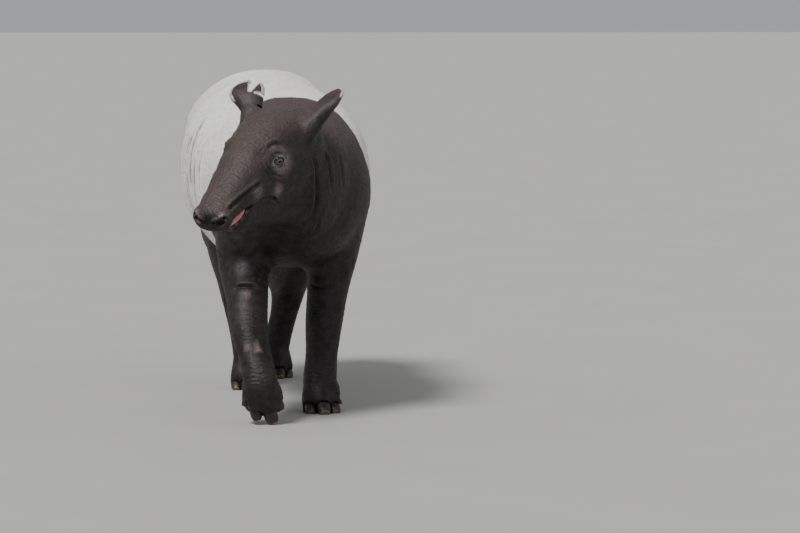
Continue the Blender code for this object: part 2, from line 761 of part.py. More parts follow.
def flesh():
    """The whole animal in one closed surface, finely meshed, without its ears' cups, eyes and hooves."""
    sharp = [*head_masses(), tail_mass()]
    for side in (LEFT, RIGHT):
        sharp.append(ear_root(side, EAR_CUT - 0.008))
        sharp.append(lid_mound(side))
    for leg in LEGS:
        sharp.extend(foot_masses(leg))
    soft = [trunk(), neck()]
    for leg in LEGS:
        maker = foreleg if leg.fore else hindleg
        soft.append(maker(*joints_of(leg)))
    core = fused("core", [*soft, *sharp], COARSE_VOXEL, COARSE_EASE)
    whole = fused("flesh", [core, *sharp], FINE_VOXEL, FINE_EASE)
    remove(core, *soft, *sharp)
    shape_body(whole)
    shape_head(whole)
    return whole


# Parting the body into its pieces

# The plane behind the jaw's angle that parts head and neck, and the block in front of it that holds the head
HEAD_CUT = (0.0, -0.635, 0.75)
HEAD_CUT_YAW = math.radians(-24)
HEAD_CUT_TILT = math.radians(8.6)
HEAD_BLOCK_LOW = (-0.26, -0.70, -0.21)
HEAD_BLOCK_HIGH = (0.26, 0.0, 0.42)

# The cuts across the body: the middle of each, its normal, and its half width and reaches back and front
NECK_CUT = ((0.015, -0.530, 0.750), (0, -0.958, 0.287), 0.34, 0.26, 0.28)
SHOULDER_CUT = ((0.000, -0.260, 0.700), (0, 0.963, 0.270), 0.40, 0.36, 0.36)
TAIL_CUT_LOW = (-0.06, 0.684, 0.770)
TAIL_CUT_HIGH = (0.06, 0.684 + GAP, 0.900)

# The cuts across each leg: above the foot, at the carpus or hock, and where it leaves the trunk
ANKLE_RISE = 0.034
ANKLE_REACH = 0.100
CARPUS_SHARE = 0.80
CARPUS_REACH = 0.095
HOCK_SHARE = 0.62
HOCK_NORMAL = (0, 0.28, -0.96)
ARMPIT_LEFT = 0.170
ARMPIT_HEIGHT = 0.470
ARMPIT_BEHIND_ELBOW = -0.020
ARMPIT_SLOPE = (-0.41, 0.91)

# How far the cuts at the armpit, the thigh and the hock reach to each side, back and forward
ARMPIT_REACHES = (0.150, 0.170, 0.200)
THIGH_REACHES = (0.235, 0.440, 0.400)
HOCK_REACHES = (0.120, 0.150, 0.120)
CARPUS_CUT_TILT = Vector((0, 0, 0.15))

# Where the cut above each thigh runs: its low front end, its high rear end, and a point in the groin
THIGH_CUTS = {
    LEFT: [(0.20, 0.14, 0.430), (0.20, 0.66, 0.700), (0.03, 0.45, 0.440)],
    RIGHT: [(0.20, 0.03, 0.420), (0.20, 0.62, 0.660), (0.03, 0.36, 0.430)],
}


def head_box(name, setback):
    """The block that holds the head, with its back moved forward by setback."""
    turn = Matrix.Rotation(HEAD_CUT_YAW, 4, "Z") @ Matrix.Rotation(HEAD_CUT_TILT, 4, "X")
    high = Vector(HEAD_BLOCK_HIGH) - Vector((0, setback, 0))
    return box(name, HEAD_BLOCK_LOW, high, Matrix.Translation(HEAD_CUT) @ turn)


def slab(centre, normal, half_width, reach_back, reach_front):
    """A thin cut square to normal, so wide to each side, and so far back and forward of its centre."""
    normal = Vector(normal).normalized()
    back = (BACKWARDS - normal * normal.dot(BACKWARDS)).normalized()
    across = back.cross(normal)
    turn = Matrix((across, back, normal)).transposed().to_4x4()
    low = (-half_width, -reach_front, -GAP / 2)
    high = (half_width, reach_back, GAP / 2)
    return box("slab", low, high, Matrix.Translation(centre) @ turn)


def leg_slabs(leg):
    """Three cuts across a leg: where it leaves the trunk, at its middle and above its foot."""
    side = leg.side
    elbow, middle, fetlock = joints_of(leg)[2:]
    cannon = (middle - fetlock).normalized()
    ankle = slab(fetlock + cannon * ANKLE_RISE, cannon, ANKLE_REACH, ANKLE_REACH, ANKLE_REACH)
    if leg.fore:
        armpit = Vector((side * ARMPIT_LEFT, elbow.y + ARMPIT_BEHIND_ELBOW, ARMPIT_HEIGHT))
        inwards, upwards = ARMPIT_SLOPE
        top = slab(armpit, (side * inwards, 0, upwards), *ARMPIT_REACHES)
        across = (elbow - middle) + CARPUS_CUT_TILT
        bend = slab(elbow.lerp(middle, CARPUS_SHARE), across, CARPUS_REACH, CARPUS_REACH, CARPUS_REACH)
        return [top, bend, ankle]
    front, rear, inner = (Vector((side * x, y, z)) for x, y, z in THIGH_CUTS[side])
    normal = (rear - front).cross(inner - front)
    top = slab((front + rear) / 2, normal * side, *THIGH_REACHES)
    bend = slab(elbow.lerp(middle, HOCK_SHARE), HOCK_NORMAL, *HOCK_REACHES)
    return [top, bend, ankle]


# Where the middle of each piece of the body lies, near enough to know it by
PIECES = {
    "neck": (0.010, -0.560, 0.750),
    "shoulders": (0.015, -0.390, 0.700),
    "torso": (0.000, 0.200, 0.730),
    "tail": (0.003, 0.690, 0.760),
    "foreleg_upper_left": (0.140, -0.330, 0.390),
    "foreleg_upper_right": (-0.130, -0.450, 0.390),
    "foreleg_lower_left": (0.110, -0.350, 0.190),
    "foreleg_lower_right": (-0.115, -0.580, 0.210),
    "forefoot_left": (0.100, -0.380, 0.050),
    "forefoot_right": (-0.090, -0.630, 0.080),
    "thigh_left": (0.140, 0.450, 0.500),
    "thigh_right": (-0.150, 0.330, 0.500),
    "shank_left": (0.080, 0.600, 0.240),
    "shank_right": (-0.090, 0.340, 0.240),
    "hindfoot_left": (0.050, 0.630, 0.050),
    "hindfoot_right": (-0.070, 0.280, 0.050),
}


def middle_of(item):
    points = [vert.co for vert in item.data.vertices]
    low = Vector([min(point[k] for point in points) for k in range(3)])
    high = Vector([max(point[k] for point in points) for k in range(3)])
    return (low + high) / 2


def body_pieces(body):
    """Parts the body along its thin cuts and names each piece."""
    cuts = [head_box("front", 0.0), floor_box()]
    cuts.append(slab(*NECK_CUT))
    cuts.append(slab(*SHOULDER_CUT))
    cuts.append(box("tail_cut", TAIL_CUT_LOW, TAIL_CUT_HIGH, Matrix.Identity(4)))
    for leg in LEGS:
        cuts.extend(leg_slabs(leg))
    boolean(body, "DIFFERENCE", cuts)
    found = {}
    for piece in parted(body):
        middle = middle_of(piece)
        name = min(PIECES, key=lambda key: (Vector(PIECES[key]) - middle).length)
        if name in found:
            raise ValueError(f"two pieces would be {name}")
        piece.name = name
        found[name] = piece
    missing = sorted(set(PIECES) - set(found))
    if missing:
        raise ValueError(f"no piece found for {missing}")
    return found


def head(whole):
    """The head with its lids, sockets, mouth and nostrils, cut from the neck on a plane behind the jaw."""
    near = head_box("near", -0.05)
    boolean(whole, "INTERSECT", [near])
    made = thin_out(kept_largest(whole), HEAD_TRIANGLES)
    boolean(made, "UNION", [ear_root(LEFT), ear_root(RIGHT), lid_ball(LEFT), lid_ball(RIGHT)])
    cuts = [mouth_cut("mouth"), nostril_cut(LEFT), nostril_cut(RIGHT), *eye_cuts(LEFT), *eye_cuts(RIGHT)]
    boolean(made, "DIFFERENCE", cuts)
    boolean(made, "INTERSECT", [head_box("cheek", GAP)])
    made = kept_largest(made)
    made.name = "head"
    return made


def hooves(pieces):
    """Each toe's hoof, and its seat in the foot."""
    made = []
    for leg in LEGS:
        foot_name = ("forefoot_" if leg.fore else "hindfoot_") + leg.name
        seats = []
        for toe in toes_of(leg):
            name = f"hoof_{'fore' if leg.fore else 'hind'}_{leg.name}_{toe.digit}"
            made.append(hoof(name, leg, toe))
            seats.append(hoof("seat", leg, toe, grow=GAP))
        boolean(pieces[foot_name], "DIFFERENCE", seats)
        pieces[foot_name] = kept_largest(pieces[foot_name])
    return made


# Finishes


def hide_material(name, colour, roughness):
    made = bpy.data.materials.new(name)
    made.use_nodes = True
    shader = made.node_tree.nodes["Principled BSDF"]
    shader.inputs["Base Color"].default_value = (*colour, 1.0)
    shader.inputs["Roughness"].default_value = roughness
    shader.inputs["Metallic"].default_value = 0.0
    return made


def finish_for(name):
    """Colour and roughness of a piece: black hide, a white saddle, and glossy eyes, tongue and hooves."""
    if name.startswith("eye"):
        return (0.020, 0.011, 0.006), 0.08
    if name.startswith("hoof"):
        return (0.045, 0.036, 0.028), 0.45
    if name == "tongue":
        return (0.480, 0.140, 0.140), 0.35
    if name == "torso":
        return (0.560, 0.550, 0.520), 0.80
    if name == "tail":
        return (0.420, 0.410, 0.390), 0.80
    return (0.028, 0.024, 0.024), 0.65


def stand_on_origin(items):
    """Moves everything so that the middle of the model's base is the origin."""
    points = [vert.co for item in items for vert in item.data.vertices]
    low = [min(point[k] for point in points) for k in range(3)]
    high = [max(point[k] for point in points) for k in range(2)]
    shift = Matrix.Translation((-(low[0] + high[0]) / 2, -(low[1] + high[1]) / 2, -low[2]))
    for item in items:
        item.data.transform(shift)


def build():
    clear_scene()
    whole = flesh()
    copy = new_object("copy", whole.data.copy())
    pieces = body_pieces(thin_out(copy, BODY_TRIANGLES))
    pieces["neck"] = room_for_ears(pieces["neck"])
    items = [
        head(whole),
        tongue("tongue"),
        ear(LEFT, "ear_left"),
        ear(RIGHT, "ear_right"),
        eye(LEFT, "eye_left"),
        eye(RIGHT, "eye_right"),
        *hooves(pieces),
        *pieces.values(),
    ]
    stand_on_origin(items)
    for item in items:
        colour, roughness = finish_for(item.name)
        item.data.materials.clear()
        item.data.materials.append(hide_material(f"{item.name}_finish", colour, roughness))
        item.data.shade_smooth()
        item.data.set_sharp_from_angle(angle=math.radians(40))


build()
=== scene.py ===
import math
import random

import bpy
import numpy as np
from mathutils import Matrix, Vector
from mathutils.bvhtree import BVHTree


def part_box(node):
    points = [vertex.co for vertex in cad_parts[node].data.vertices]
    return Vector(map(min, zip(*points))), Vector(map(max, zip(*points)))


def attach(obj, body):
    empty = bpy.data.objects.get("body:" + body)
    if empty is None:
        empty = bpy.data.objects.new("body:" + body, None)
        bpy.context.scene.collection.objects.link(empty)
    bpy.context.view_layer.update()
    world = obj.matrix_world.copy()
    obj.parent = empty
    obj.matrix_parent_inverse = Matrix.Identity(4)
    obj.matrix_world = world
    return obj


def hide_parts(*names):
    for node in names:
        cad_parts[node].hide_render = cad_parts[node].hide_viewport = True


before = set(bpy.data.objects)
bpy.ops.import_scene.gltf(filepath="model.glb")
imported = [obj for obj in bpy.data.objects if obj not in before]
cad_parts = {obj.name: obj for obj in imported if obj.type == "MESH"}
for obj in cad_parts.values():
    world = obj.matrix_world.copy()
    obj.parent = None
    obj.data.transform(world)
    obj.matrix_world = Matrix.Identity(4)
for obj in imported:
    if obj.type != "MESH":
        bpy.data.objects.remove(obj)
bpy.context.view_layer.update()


# The camera stands where the picture was taken from, 10.6 m off at 1.23 m above the ground, with a long lens.
# A pixel of the picture then names the place on the animal that it shows.

PHOTO_WIDTH = 800
PHOTO_HEIGHT = 533
FOCAL_PIXELS = 3450
CAMERA_PLACE = (-0.9083, -10.6202, 1.23)
CAMERA_DOWN = 4.318
CAMERA_TURN = -7

view = bpy.data.cameras.new("view")
view.sensor_width = 36
view.lens = FOCAL_PIXELS / PHOTO_WIDTH * view.sensor_width
viewer = bpy.data.objects.new("viewer", view)
bpy.context.scene.collection.objects.link(viewer)
viewer.location = CAMERA_PLACE
viewer.rotation_euler = (math.radians(90 - CAMERA_DOWN), 0, math.radians(CAMERA_TURN))
bpy.context.scene.camera = viewer


# The hide: one skin over the flesh from the lips to the tail, thick, loose at the neck and flanks and tight
# on the forehead and legs. It is drawn round the joined solids of the flesh and then worked as a modeller
# works clay, with folds pressed in along the lines where a walking animal's skin creases.

FLESH = sorted(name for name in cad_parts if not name.startswith(("eye", "hoof", "tongue")))
HIDE_GRAIN = 0.0027
HIDE_TRIANGLES = 188_000
HIDE_EVENINGS = 50
COAT_DEPTH = 0.0008
SAME_CORNER = 0.00002
LEFT = 1
RIGHT = -1
UP = (0, 0, 1)


def picked(*items):
    bpy.ops.object.select_all(action="DESELECT")
    for item in items:
        item.select_set(True)
    bpy.context.view_layer.objects.active = items[0]
    return items[0]


def edited(item, *steps, chosen=None):
    """Runs edit-mode steps on the whole item, or on the faces chosen by a mask."""
    picked(item)
    bpy.ops.object.mode_set(mode="EDIT")
    bpy.ops.mesh.select_mode(type="FACE")
    bpy.ops.mesh.select_all(action="SELECT" if chosen is None else "DESELECT")
    bpy.ops.object.mode_set(mode="OBJECT")
    if chosen is not None:
        item.data.polygons.foreach_set("select", chosen)
    bpy.ops.object.mode_set(mode="EDIT")
    for operator, settings in steps:
        operator(**settings)
    bpy.ops.object.mode_set(mode="OBJECT")


def merged_copy(name, *nodes):
    """A new mesh from copies of CAD nodes, its loose triangles merged at their corners."""
    copies = []
    for node in nodes:
        copies.append(bpy.data.objects.new(name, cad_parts[node].data.copy()))
        bpy.context.scene.collection.objects.link(copies[-1])
    made = picked(*copies)
    if len(copies) > 1:
        bpy.ops.object.join()
    edited(made, (bpy.ops.mesh.remove_doubles, {"threshold": SAME_CORNER}))
    made.data.materials.clear()
    return made


def modified(item, kind, **settings):
    picked(item)
    step = item.modifiers.new("step", kind)
    for setting, value in settings.items():
        setattr(step, setting, value)
    bpy.ops.object.modifier_apply(modifier=step.name)


def points_of(item):
    points = np.empty(len(item.data.vertices) * 3)
    item.data.vertices.foreach_get("co", points)
    return points.reshape(-1, 3)


def normals_of(item):
    normals = np.empty(len(item.data.vertices) * 3)
    item.data.vertex_normals.foreach_get("vector", normals)
    return normals.reshape(-1, 3)


def set_points(item, points):
    item.data.vertices.foreach_set("co", np.ascontiguousarray(points).ravel())
    item.data.update()


def edges_of(item):
    edges = np.empty(len(item.data.edges) * 2, dtype=np.int64)
    item.data.edges.foreach_get("vertices", edges)
    return edges.reshape(-1, 2)


def corners_of(item):
    corners = np.empty(len(item.data.loops), dtype=np.int64)
    item.data.loops.foreach_get("vertex_index", corners)
    return corners


def face_middles(item):
    middles = np.empty(len(item.data.polygons) * 3)
    item.data.polygons.foreach_get("center", middles)
    return middles.reshape(-1, 3)


def largest_surface(item):
    """Drops every closed surface of the item but its largest."""
    edges = edges_of(item)
    group = np.arange(len(item.data.vertices))
    while True:
        before = group.copy()
        lowest = np.minimum(group[edges[:, 0]], group[edges[:, 1]])
        np.minimum.at(group, edges[:, 0], lowest)
        np.minimum.at(group, edges[:, 1], lowest)
        group = group[group[group]]
        if (group == before).all():
            break
    names, counts = np.unique(group, return_counts=True)
    loose = group != names[counts.argmax()]
    if loose.any():
        first_corner = np.empty(len(item.data.polygons), dtype=np.int64)
        item.data.polygons.foreach_get("loop_start", first_corner)
        edited(item, (bpy.ops.mesh.delete, {"type": "VERT"}), chosen=loose[corners_of(item)[first_corner]])


def around_mean(values, edges):
    """The mean of each point's neighbours along the edges."""
    count = len(values)
    degree = np.maximum(np.bincount(edges.ravel(), minlength=count), 1)
    total = np.empty_like(values)
    for axis in range(values.shape[1]):
        column = values[:, axis]
        total[:, axis] = np.bincount(edges[:, 0], column[edges[:, 1]], count)
        total[:, axis] += np.bincount(edges[:, 1], column[edges[:, 0]], count)
    return total / degree[:, None]


def evened(item, rounds, share=1.0):
    """Evens the surface out by easing each point to its neighbours, and back again so that nothing shrinks."""
    points = points_of(item)
    edges = edges_of(item)
    share = np.broadcast_to(share, len(points))[:, None]
    for _ in range(rounds):
        points += 0.5 * share * (around_mean(points, edges) - points)
        points -= 0.51 * share * (around_mean(points, edges) - points)
    set_points(item, points)


def ramp(values, start, end):
    """0 before start, 1 after end, and smooth between."""
    share = np.clip((values - start) / (end - start), 0, 1)
    return share * share * (3 - 2 * share)


def spot(points, place, radius):
    """1 at a place, dying away to a third at the radius."""
    return np.exp(-((points - np.array(place)) ** 2).sum(axis=1) / radius**2)


def in_axes(points, axes):
    """The points measured in the axes of a matrix."""
    inverse = np.array(axes.inverted())
    return points @ inverse[:3, :3].T + inverse[:3, 3]


def out_of_axes(points, axes):
    matrix = np.array(axes)
    return points @ matrix[:3, :3].T + matrix[:3, 3]


def middle_of(node):
    low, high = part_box(node)
    return (Vector(low) + Vector(high)) / 2


# The head's own axes: x to its left, y back from nose to poll and z up, with the poll at zero
HEAD_YAW = Matrix.Rotation(math.radians(-38), 4, "Z")
HEAD_PITCH = Matrix.Rotation(math.radians(35), 4, "X")
HEAD_ROLL = Matrix.Rotation(math.radians(8), 4, "Y")
HEAD_TURN = HEAD_YAW @ HEAD_PITCH @ HEAD_ROLL
EYE_ON_HEAD = Vector((0.082, -0.163, -0.018))
EAR_ON_HEAD = Vector((0.098, 0.020, -0.026))
POLL = middle_of("eye_left") - HEAD_TURN @ EYE_ON_HEAD
HEAD = Matrix.Translation(POLL) @ HEAD_TURN

# Each ear's blade from foot to tip: heights, half widths, and where its middle lies across
EAR_LEAN = {LEFT: 0.37, RIGHT: 0.56}
EAR_BLADE = {
    LEFT: ([0.022, 0.045, 0.070, 0.096, 0.118, 0.133, 0.142],
           [0.033, 0.037, 0.042, 0.041, 0.032, 0.020, 0.008],
           [0, 0, 0, 0, 0, 0, 0]),
    RIGHT: ([0.022, 0.043, 0.065, 0.087, 0.106, 0.119, 0.127],
            [0.033, 0.039, 0.049, 0.053, 0.0475, 0.033, 0.013],
            [0, -0.003, -0.006, -0.007, -0.005, -0.002, 0]),
}
# The tears in the right ear: where each starts across and up the blade, its half width and its slope
EAR_TEARS = [(0.004, 0.073, 0.0078, 69), (0.020, 0.066, 0.0036, -15)]
TEAR_REACH = 0.060


def head_share_of(points):
    left, back, up = in_axes(points, HEAD).T
    return ramp(-back, -0.14, -0.03) * ramp(-abs(left), -0.26, -0.20) * ramp(up, -0.40, -0.33)


def ear_axes(side):
    """The axes of an ear: x across its blade, y out of its cup and z to its tip, with its foot at zero."""
    upright = HEAD_YAW @ HEAD_ROLL
    to_tip = (upright @ Vector((side * EAR_LEAN[side], 0.48, 0.80))).normalized()
    cup = upright @ Vector((side * 0.50, 0.85, 0.0))
    cup = (cup - to_tip * cup.dot(to_tip)).normalized()
    turn = Matrix((cup.cross(to_tip), cup, to_tip)).transposed().to_4x4()
    foot = HEAD @ Vector((side * EAR_ON_HEAD.x, EAR_ON_HEAD.y, EAR_ON_HEAD.z))
    return Matrix.Translation(foot) @ turn


def ear_share_of(points):
    """1 on the thin blades of the ears and 0 away from them."""
    share = np.zeros(len(points))
    for side in (LEFT, RIGHT):
        across, out, up = in_axes(points, ear_axes(side)).T
        blade = ramp(up, 0.010, 0.035) * ramp(-up, -0.160, -0.150)
        beside = ramp(-abs(across), -0.080, -0.066) * ramp(-abs(out), -0.065, -0.050)
        share = np.maximum(share, blade * beside)
    return share


def eye_share_of(points, radius):
    left, right = (spot(points, middle_of(node), radius) for node in ("eye_left", "eye_right"))
    return np.maximum(left, right)


hide = merged_copy("hide", *FLESH)
modified(hide, "REMESH", mode="VOXEL", voxel_size=HIDE_GRAIN)
largest_surface(hide)

points = points_of(hide)
ear_share = ear_share_of(points)
foot_share = 1 - ramp(points[:, 2], 0.10, 0.16)
fine = np.maximum.reduce([0.80 * head_share_of(points), 0.92 * ear_share, 0.55 * foot_share])
evened(hide, HIDE_EVENINGS, 1 - fine)
evened(hide, 3, 1 - 0.5 * ear_share)
set_points(hide, points_of(hide) - COAT_DEPTH * normals_of(hide))

# A finer mesh on the ears, the nose and lips, and finer still round the eyes
middles = face_middles(hide)
back = in_axes(middles, HEAD)[:, 1]
finer =(ear_share_of(middles) > 0.3) | ((back < -0.24) & (head_share_of(middles) > 0.5))
finer |= eye_share_of(middles, 0.048) > 1 / math.e
edited(hide, (bpy.ops.mesh.subdivide, {"number_cuts": 1, "smoothness": 0}), chosen=finer)
finer = eye_share_of(face_middles(hide), 0.034) > 1 / math.e
edited(hide, (bpy.ops.mesh.subdivide, {"number_cuts": 1, "smoothness": 0}), chosen=finer)
points = points_of(hide)
evened(hide, 6, np.maximum(0.7 * (eye_share_of(points, 0.05) > 0.2), 0.5 * ear_share_of(points)))

hide_tree = BVHTree.FromObject(hide, bpy.context.evaluated_depsgraph_get())


def seen(column, row):
    """The place on the hide that the picture shows at a pixel."""
    turn = viewer.rotation_euler.to_matrix()
    look = turn @ Vector((column - PHOTO_WIDTH / 2, PHOTO_HEIGHT / 2 - row, -FOCAL_PIXELS))
    place = hide_tree.ray_cast(viewer.location, look.normalized())[0]
    if place is None:
        raise ValueError(f"no hide at pixel {column}, {row}")
    return place


def on_hide(place):
    """The nearest place on the hide."""
    return hide_tree.find_nearest(Vector(place))[0]


def from_side(side, y, z):
    """The place on the animal's left or right flank at y and z."""
    return hide_tree.ray_cast(Vector((side * 1.0, y, z)), Vector((-side, 0, 0)))[0]


def both(pixels):
    """The places that pixels of the head's left side show, and the same on its right side."""
    places = [seen(column, row) for column, row in pixels]
    flip = HEAD @ Matrix.Scale(-1, 4, Vector((1, 0, 0))) @ HEAD.inverted()
    return [places, [on_hide(flip @ place) for place in places]]


def along_hide(places, spacing=0.003):
    """A line on the hide through the places, as close points."""
    line = []
    for first, second in zip(places, places[1:]):
        steps = max(1, int((second - first).length / spacing))
        line.extend(first.lerp(second, step / steps) for step in range(steps))
    line.append(places[-1])
    for _ in range(8):
        line = [line[0], *((a + 2 * b + c) / 4 for a, b, c in zip(line, line[1:], line[2:])), line[-1]]
    return np.array([on_hide(place) for place in line])


def nearest_on(line, places):
    """For each place its distance from the line, how far along it lies, from 0 to 1, and its offset."""
    gap = np.full(len(places), np.inf)
    share = np.zeros(len(places))
    offset = np.zeros((len(places), 3))
    for step, (first, second) in enumerate(zip(line, line[1:])):
        run = second - first
        t = np.clip(((places - first) @ run) / max(run @ run, 1e-12), 0, 1)
        apart = places - first - t[:, None] * run
        away = np.linalg.norm(apart, axis=1)
        closer = away < gap
        gap[closer] = away[closer]
        offset[closer] = apart[closer]
        share[closer] = (step + t[closer]) / (len(line) - 1)
    return gap, share, offset


class Clay:
    """The hide's points while they are being worked, beside where each was before."""

    def __init__(self, item):
        self.item = item
        self.before = points_of(item)
        self.points = self.before.copy()
        self.normals = normals_of(item)

    def fold(self, places, width, depth, swell=0.35, taper=0.25, over=None):
        """Presses a crease along the places. The skin beside it swells, or only towards over if given."""
        line = along_hide(places)
        reach = 4 * width
        near = (self.before > line.min(axis=0) - reach) & (self.before < line.max(axis=0) + reach)
        chosen = np.nonzero(near.all(axis=1))[0]
        gap, share, offset = nearest_on(line, self.before[chosen])
        strength = ramp(share, 0, taper) * ramp(-share, -1, taper - 1)
        beside = np.exp(-((gap - 2.0 * width) / width) ** 2)
        if over is not None:
            beside *= ramp(offset @ np.array(Vector(over).normalized()), 0, width)
        move = depth * (swell * beside - np.exp(-(gap / width) ** 2))
        self.points[chosen] += (strength * move)[:, None] * self.normals[chosen]

    def push(self, place, radius, out=0.0, move=(0, 0, 0)):
        """Moves the skin round a place out along its normals, and by a move."""
        share = spot(self.before, place, radius)[:, None]
        self.points += share * (out * self.normals + np.array(move))

    def done(self):
        set_points(self.item, self.points)
        return np.linalg.norm(self.points - self.before, axis=1)


clay = Clay(hide)

# The proboscis hangs over the upper lip, and lip and cheek crease behind the corner of the mouth
for side in both([(229, 212), (233, 206), (243, 197), (254, 188), (264, 181)]):
    clay.fold(side, 0.0060, 0.0085, swell=0.45, taper=0.15, over=UP)
for side in both([(257, 202), (263, 198.5), (271, 197), (278, 201)]):
    clay.fold(side, 0.0050, 0.0050, swell=0.5)
for side in both([(274, 185), (273, 194), (276, 202), (282, 206)]):
    clay.fold(side, 0.0038, 0.0026)
for side in both([(257, 194)]):
    clay.push(side[0], 0.020, out=0.0045)
for side in both([(279, 190)]):
    clay.push(side[0], 0.016, out=0.0030)

# The lips part to show the tongue, most behind the nose
for side in both([(231, 227), (240, 220)]):
    for place in side:
        clay.push(place, 0.014, move=HEAD_TURN @ Vector((0, -0.0050, -0.0050)))
for side in both([(230, 216), (237, 211)]):
    for place in side:
        clay.push(place, 0.012, move=HEAD_TURN @ Vector((0, 0, 0.0060)))

# The nostrils are slits that rise outwards under a rolled rim
for side in both([(212, 224), (216, 222.5), (221, 220.5), (226.5, 217.5)]):
    clay.fold(side, 0.0042, 0.0140, swell=0.30, taper=0.15, over=UP)

# A heavy brow over each eye, with loose skin in rings round the lids and a hollow in front of them
for side, depth in zip(both([(267, 150), (271, 145.5), (276, 143.5), (282, 146)]), (0.0045, 0.0015)):
    clay.fold(side, 0.0060, depth, swell=0.4, over=UP)
for side in both([(272, 155), (277, 152.5), (284, 154)]):
    clay.fold(side, 0.0028, 0.0022, swell=0.6)
for side in both([(267, 157), (267, 166), (272, 173), (281, 177), (289, 173)]):
    clay.fold(side, 0.0034, 0.0030, swell=0.5)
for side in both([(262, 158), (264, 171), (271, 180), (281, 183)]):
    clay.fold(side, 0.0042, 0.0022)
for side in both([(261, 156)]):
    clay.push(side[0], 0.020, out=-0.0045)

# Behind the cheek the neck folds, as the head is turned to the right, and the jaw stands proud of the throat
BEHIND_CHEEK = HEAD_TURN @ Vector((0, -1, 0))
clay.fold([seen(311, 150), seen(316, 164), seen(317.5, 182), seen(317, 203), seen(312, 220)], 0.0080, 0.0105,
          swell=0.5, over=BEHIND_CHEEK)
clay.fold([seen(324, 148), seen(329, 162), seen(331, 177), seen(331, 193)], 0.0060, 0.0050)
clay.fold([seen(337, 150), seen(342, 170), seen(343, 192)], 0.0080, 0.0028)
clay.fold([seen(322, 205), seen(319, 222), seen(312, 236), seen(300, 245)], 0.0070, 0.0035)

# The skin creases over each elbow, most on the leg that swings forward
clay.fold([seen(231, 290), seen(238, 287), seen(246, 286), seen(254, 287), seen(261, 291)], 0.0060, 0.0075,
          swell=0.55, taper=0.35, over=UP)
clay.fold([seen(309, 283), seen(318, 287), seen(328, 287), seen(338, 283)], 0.0060, 0.0035,
          swell=0.5, over=UP)

# Shallow hoops of creased skin stand upright on each flank, 25 to 60 mm apart
HOOPS_FROM = -0.12
HOOPS_TO = 0.60
HOOP_TOP = 0.93
HOOP_FOOT = 0.50
draw = random.Random(7)
for side in (LEFT, RIGHT):
    y = HOOPS_FROM
    while y < HOOPS_TO:
        top = HOOP_TOP + draw.uniform(-0.04, 0.03)
        foot = HOOP_FOOT + draw.uniform(-0.05, 0.12)
        lean = draw.uniform(0.0, 0.04)
        heights = np.linspace(top, foot, 6)
        places = [from_side(side, y + lean * math.sin(3 * step / 5), z) for step, z in enumerate(heights)]
        if None not in places:
            clay.fold(places, 0.0050, draw.uniform(0.0018, 0.0042), swell=0.6, taper=0.4)
        y += draw.uniform(0.025, 0.060)

worked = clay.done()


# The lids lie close on the eyeballs. Between them each eye shows through an almond slit, and the skin round
# the slit stands in a pale rim with creases beyond it.

EYE_RADIUS = 0.0180
EYE_SINK = {LEFT: 0.0024, RIGHT: 0.0044}
SLIT_HALF = 0.0160
SLIT_UP = 0.0116
SLIT_DOWN = 0.0106
ALMOND = 1.75
# How high the lids stand over the eyeball at each distance out from the slit's middle, in slits
LID_REACH = [0.0, 0.95, 1.02, 1.14, 1.38, 1.60, 1.80, 2.05, 2.30, 2.60]
LID_HEIGHT = [-0.0040, -0.0040, 0.0002, 0.0018, 0.0020, 0.0004, 0.0020, 0.0010, 0.0022, 0.0022]
LID_END = 2.6


def eye_axes(side):
    """The axes of an eye: x along its slit, y up across it and z the way it looks, with its middle at zero."""
    look = Vector((side * 0.84, -0.53, 0.10)).normalized()
    along = Vector((0, -1, 0.25))
    along = (along - look * along.dot(look)).normalized()
    above = look.cross(along)
    if above.z < 0:
        along, above = -along, -above
    turn = HEAD_TURN @ Matrix((along, above, look)).transposed().to_4x4()
    middle = middle_of("eye_left" if side == LEFT else "eye_right")
    return Matrix.Translation(middle) @ turn @ Matrix.Translation((0, 0, -EYE_SINK[side]))


def lids_of(side, points):
    """The points in the eye's axes, how many slits out each lies, and which are on the lids."""
    local = in_axes(points, eye_axes(side))
    height = np.where(local[:, 1] > 0, SLIT_UP, SLIT_DOWN)
    reach = ((abs(local[:, 0]) / SLIT_HALF) ** ALMOND + (abs(local[:, 1]) / height) ** ALMOND) ** (1 / ALMOND)
    near = (local[:, 2] > -0.004) & (np.linalg.norm(local, axis=1) < 2.4 * EYE_RADIUS)
    return local, reach, near & (reach < LID_END)


points = points_of(hide)
for side in (LEFT, RIGHT):
    local, reach, lid = lids_of(side, points)
    away = np.linalg.norm(local, axis=1)
    wanted = EYE_RADIUS + np.interp(reach, LID_REACH, LID_HEIGHT)
    share = 1 - ramp(reach, 1.7, LID_END)
    scale = (away + share * (wanted - away)) / np.maximum(away, 1e-6)
    local[lid] *= scale[lid, None]
    points[lid] = out_of_axes(local[lid], eye_axes(side))
set_points(hide, points)

# Fewer, larger triangles on the body, and the small ones kept on the head, the ears and in the folds
detail = hide.vertex_groups.new(name="detail")
points = points_of(hide)
weights = np.maximum.reduce([0.10 + 0.50 * head_share_of(points), 0.80 * ear_share_of(points),
                             1.2 * eye_share_of(points, 0.04), 0.8 * ramp(worked, 0.0006, 0.0030)])
for level in range(1, 11):
    chosen = np.clip(np.round(weights * 10), 0, 10) == level
    detail.add(np.nonzero(chosen)[0].tolist(), level / 10, "REPLACE")
triangles = len(hide.data.loops) - 2 * len(hide.data.polygons)
if triangles > HIDE_TRIANGLES:
    modified(hide, "DECIMATE", ratio=HIDE_TRIANGLES / triangles, vertex_group="detail",
             vertex_group_factor=0.9, invert_vertex_group=True)
hide.vertex_groups.clear()
modified(hide, "TRIANGULATE")
picked(hide)
bpy.ops.object.shade_smooth()


